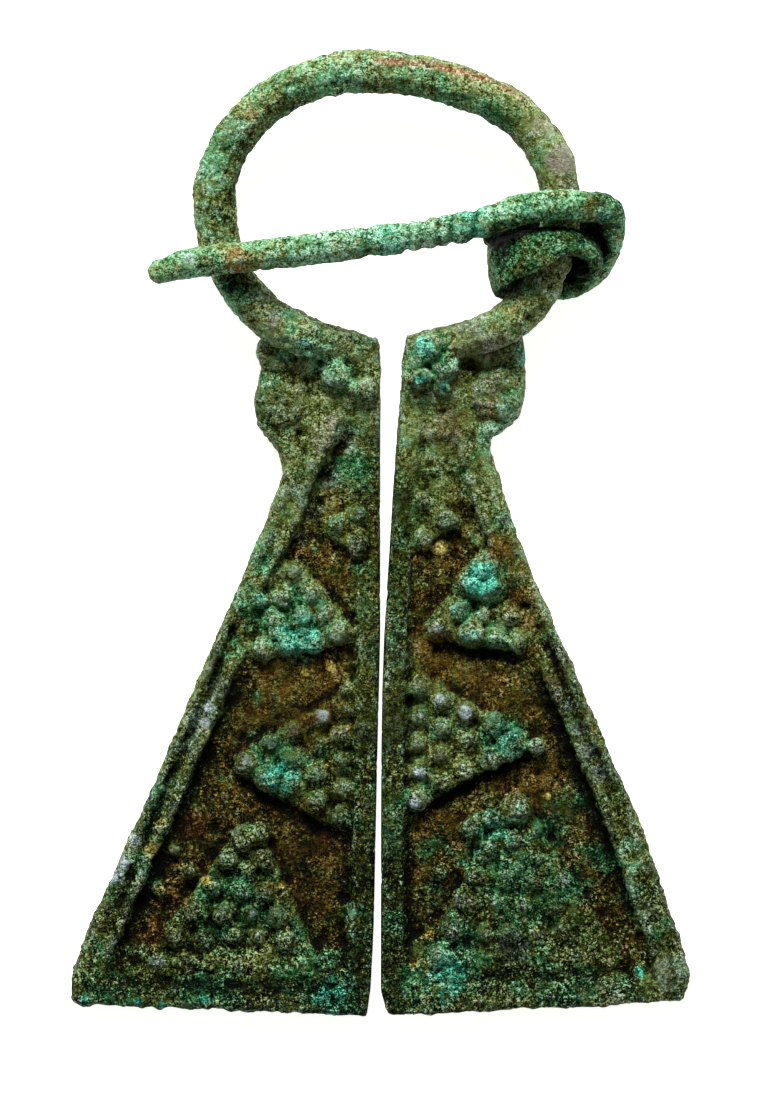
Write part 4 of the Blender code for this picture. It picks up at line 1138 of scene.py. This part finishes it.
# %% Fields of mottling
MOTTLES = {
    "broad": (3.2, 2.0, 3.0), "middle": (0.8, 3.0, 11.0), "fine": (0.26, 3.0, 23.0),
    "specks": (0.12, 2.0, 37.0), "hues": (2.4, 4.0, 51.0), "browns": (1.8, 6.0, 67.0),
    "gritty": (1.3, 2.0, 83.0),
}
MOTTLE_ROUGHNESS = 0.62
CRYSTAL_SIZE = 0.34


def mottled_fields(tree):
    """The named mottles, each from 0 to 1, and the distance from the middle of a crystal."""
    place = add_node(tree, "ShaderNodeTexCoord").outputs["Object"]
    scaling = {0: place, "Scale": 1 / MM}
    in_mm = add_node(tree, "ShaderNodeVectorMath", {"operation": "SCALE"}, scaling).outputs[0]
    fields = {}
    for name, (size, detail, shift) in MOTTLES.items():
        shifted = add_node(
            tree, "ShaderNodeVectorMath", {"operation": "ADD"}, {0: in_mm, 1: (shift,) * 3}
        )
        clouds = add_node(tree, "ShaderNodeTexNoise", inputs={
            "Vector": shifted.outputs[0], "Scale": 1 / size, "Detail": detail,
            "Roughness": MOTTLE_ROUGHNESS,
        })
        fields[name] = clouds.outputs["Fac"]
    crystals = add_node(
        tree, "ShaderNodeTexVoronoi", inputs={"Vector": in_mm, "Scale": 1 / CRYSTAL_SIZE}
    )
    fields["crystals"] = crystals.outputs["Distance"]
    return fields


print(len(MOTTLES) + 1, "fields")

# %% [markdown]
# The tone of a place, from 0 for black to 1 for the palest, starts from the shade kept on the mesh.
# Clouds and blots are added, then the grit, which comes and goes in patches of its own.

# %% Tone of a place
MOTTLE_MIDDLE = 0.5
CRYSTAL_MIDDLE = 0.45


def patina_tone(tree, fields, base_tone):
    """How light each place is, before any layer gives it a hue."""
    tone = add_share(tree, base_tone, kept(tree, "shade"), 1.0)
    for name, share in (("broad", 0.5), ("middle", 0.38)):
        tone = add_share(tree, tone, fields[name], share, MOTTLE_MIDDLE)
    grit = add_share(tree, 0.0, fields["fine"], 0.85, MOTTLE_MIDDLE)
    grit = add_share(tree, grit, fields["specks"], 1.35, MOTTLE_MIDDLE)
    grit = add_share(tree, grit, fields["crystals"], -0.36, CRYSTAL_MIDDLE)
    gritty = add_share(tree, -0.6, fields["gritty"], 3.2)
    gritty = add_share(tree, 0.0, gritty, kept(tree, "grit"))
    return add_share(tree, tone, grit, gritty)


# %% [markdown]
# A layer lies over the ones before it where its number is high enough. A mottle is added to the
# number first, so that the layer's edge is ragged, as crust flakes off. Over a short step it goes
# from nothing to full cover.

# %% Layers with ragged edges
def tones_at(tree, tone, tones, lift=0.0):
    """A layer's colour at the given tone, a little lighter or darker by its lift."""
    lifted = add_node(
        tree, "ShaderNodeMath", {"operation": "ADD", "use_clamp": True}, {0: tone, 1: lift}
    )
    node = add_node(tree, "ShaderNodeValToRGB", inputs={"Fac": lifted.outputs[0]})
    stops = node.color_ramp.elements
    while len(stops) < len(tones):
        stops.new(0.5)
    for stop, (place, code) in zip(stops, tones):
        stop.position = place
        stop.color = (*srgb(code), 1)
    return node.outputs["Color"]


def ragged(tree, number, field, threshold, softness):
    """1 where the layer is, 0 where it isn't, with an edge broken up by a mottle."""
    broken = add_share(tree, number, field, 1.0, MOTTLE_MIDDLE)
    raised = add_share(tree, -threshold, broken, 1.0)
    return add_node(
        tree, "ShaderNodeMath", {"operation": "DIVIDE", "use_clamp": True},
        {0: raised, 1: softness},
    ).outputs[0]


def cover(tree, under, over, amount):
    """One colour laid over another."""
    inputs = {"Factor": amount, 6: under, 7: over}
    return add_node(tree, "ShaderNodeMix", {"data_type": "RGBA"}, inputs).outputs[2]


# %% [markdown]
# Both materials are corroded bronze. The body was cast, so its metal is porous and its crust thick
# and uneven: it gives the eye a dark, broken, dull green. The pin was hammered from wire, which is
# dense, so its crust is thinner, more even and paler. Corrosion is a mineral, so it isn't metallic
# and has the shader's usual IOR of 1.5. A powdery mineral starts from a roughness of 0.6 to 0.9.
# Matched to this brooch it comes down to about 0.45 to 0.65, rougher where the fine mottle is
# high. The crust is full of pores and hardly mirrors the lamp, so the specular level is matched
# down as well, from the usual 0.5 to 0.05.

# %% The patina material
LEAST_ROUGHNESS = 0.36
ROUGHNESS_SWING = 0.40
SPECULAR_LEVEL = 0.05
GRAIN_RELIEF = 0.22


def layers_of(tree, fields):
    """Tones, lift, number, mottle at the edge, threshold and softness, from below upwards."""
    middle = fields["middle"]
    soiled = add_share(tree, fields["browns"], kept(tree, "soil"), 0.42)
    greened = add_share(tree, fields["hues"], kept(tree, "emerald"), 0.32)
    greened = add_share(tree, greened, kept(tree, "soil"), -0.14)
    turquoise = add_share(tree, 0.0, fields["broad"], 0.5)
    turquoise = add_share(tree, turquoise, kept(tree, "turquoise"), 0.6)
    mint = add_share(tree, 0.0, middle, 0.35)
    mint = add_share(tree, mint, kept(tree, "mint"), 0.6)
    return (
        (SOIL_TONES, 0.0, soiled, middle, 0.58, 0.30),
        (GREEN_TONES, 0.0, greened, middle, 0.48, 0.30),
        (GREY_TONES, 0.0, kept(tree, "grey_skin_and_sheen"), middle, 0.30, 0.8),
        (RUBBED_TONES, 0.0, kept(tree, "rubbed"), middle, 0.3, 0.6),
        (TURQUOISE_TONES, 0.02, turquoise, middle, 0.56, 0.40),
        (MINT_TONES, 0.02, mint, middle, 0.46, 0.45),
        (RUSTY_TONES, -0.12, kept(tree, "rusty"), middle, 0.22, 0.5),
        (OCHRE_TONES, 0.10, kept(tree, "ochre"), fields["fine"], 0.4, 0.5),
        (SILVERY_TONES, 0.16, kept(tree, "silvery"), middle, 0.38, 0.6),
    )


def patina(name, base_tone):
    """Corroded bronze that reads the numbers kept on its mesh."""
    material = bpy.data.materials.new(name)
    material.use_nodes = True
    tree = material.node_tree
    shader = tree.nodes["Principled BSDF"]
    fields = mottled_fields(tree)
    tone = patina_tone(tree, fields, base_tone)
    colour = tones_at(tree, tone, OLIVE_TONES)
    for tones, lift, number, field, threshold, softness in layers_of(tree, fields):
        amount = ragged(tree, number, field, threshold, softness)
        colour = cover(tree, colour, tones_at(tree, tone, tones, lift), amount)
    tree.links.new(colour, shader.inputs["Base Color"])

    roughness = add_share(tree, LEAST_ROUGHNESS, fields["fine"], ROUGHNESS_SWING)
    tree.links.new(roughness, shader.inputs["Roughness"])
    height = add_share(tree, fields["fine"], fields["crystals"], -0.25)
    height = add_share(tree, height, fields["specks"], 0.5)
    bump = add_node(tree, "ShaderNodeBump", inputs={
        "Strength": 1.0, "Distance": GRAIN_RELIEF * MM, "Height": height,
    })
    tree.links.new(bump.outputs["Normal"], shader.inputs["Normal"])
    shader.inputs["Specular IOR Level"].default_value = SPECULAR_LEVEL
    print(name, len(tree.nodes), "nodes, IOR", round(shader.inputs["IOR"].default_value, 2))
    return material


BODY_TONE = 0.525
PIN_TONE = 0.50
for piece, paint in (
    (body, patina("dark green patina on cast bronze", BODY_TONE)),
    (pin, patina("pale green patina on bronze wire", PIN_TONE)),
):
    piece.data.materials.clear()
    piece.data.materials.append(paint)
    piece.data.shade_smooth()

# %% [markdown]
# ## Handing over
# Each dressed piece rides on its own body, so the pin still turns on the hoop, and stands for the
# plain solid below it.

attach(body, "brooch")
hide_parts("brooch_body")
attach(pin, "pin")
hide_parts("pin")
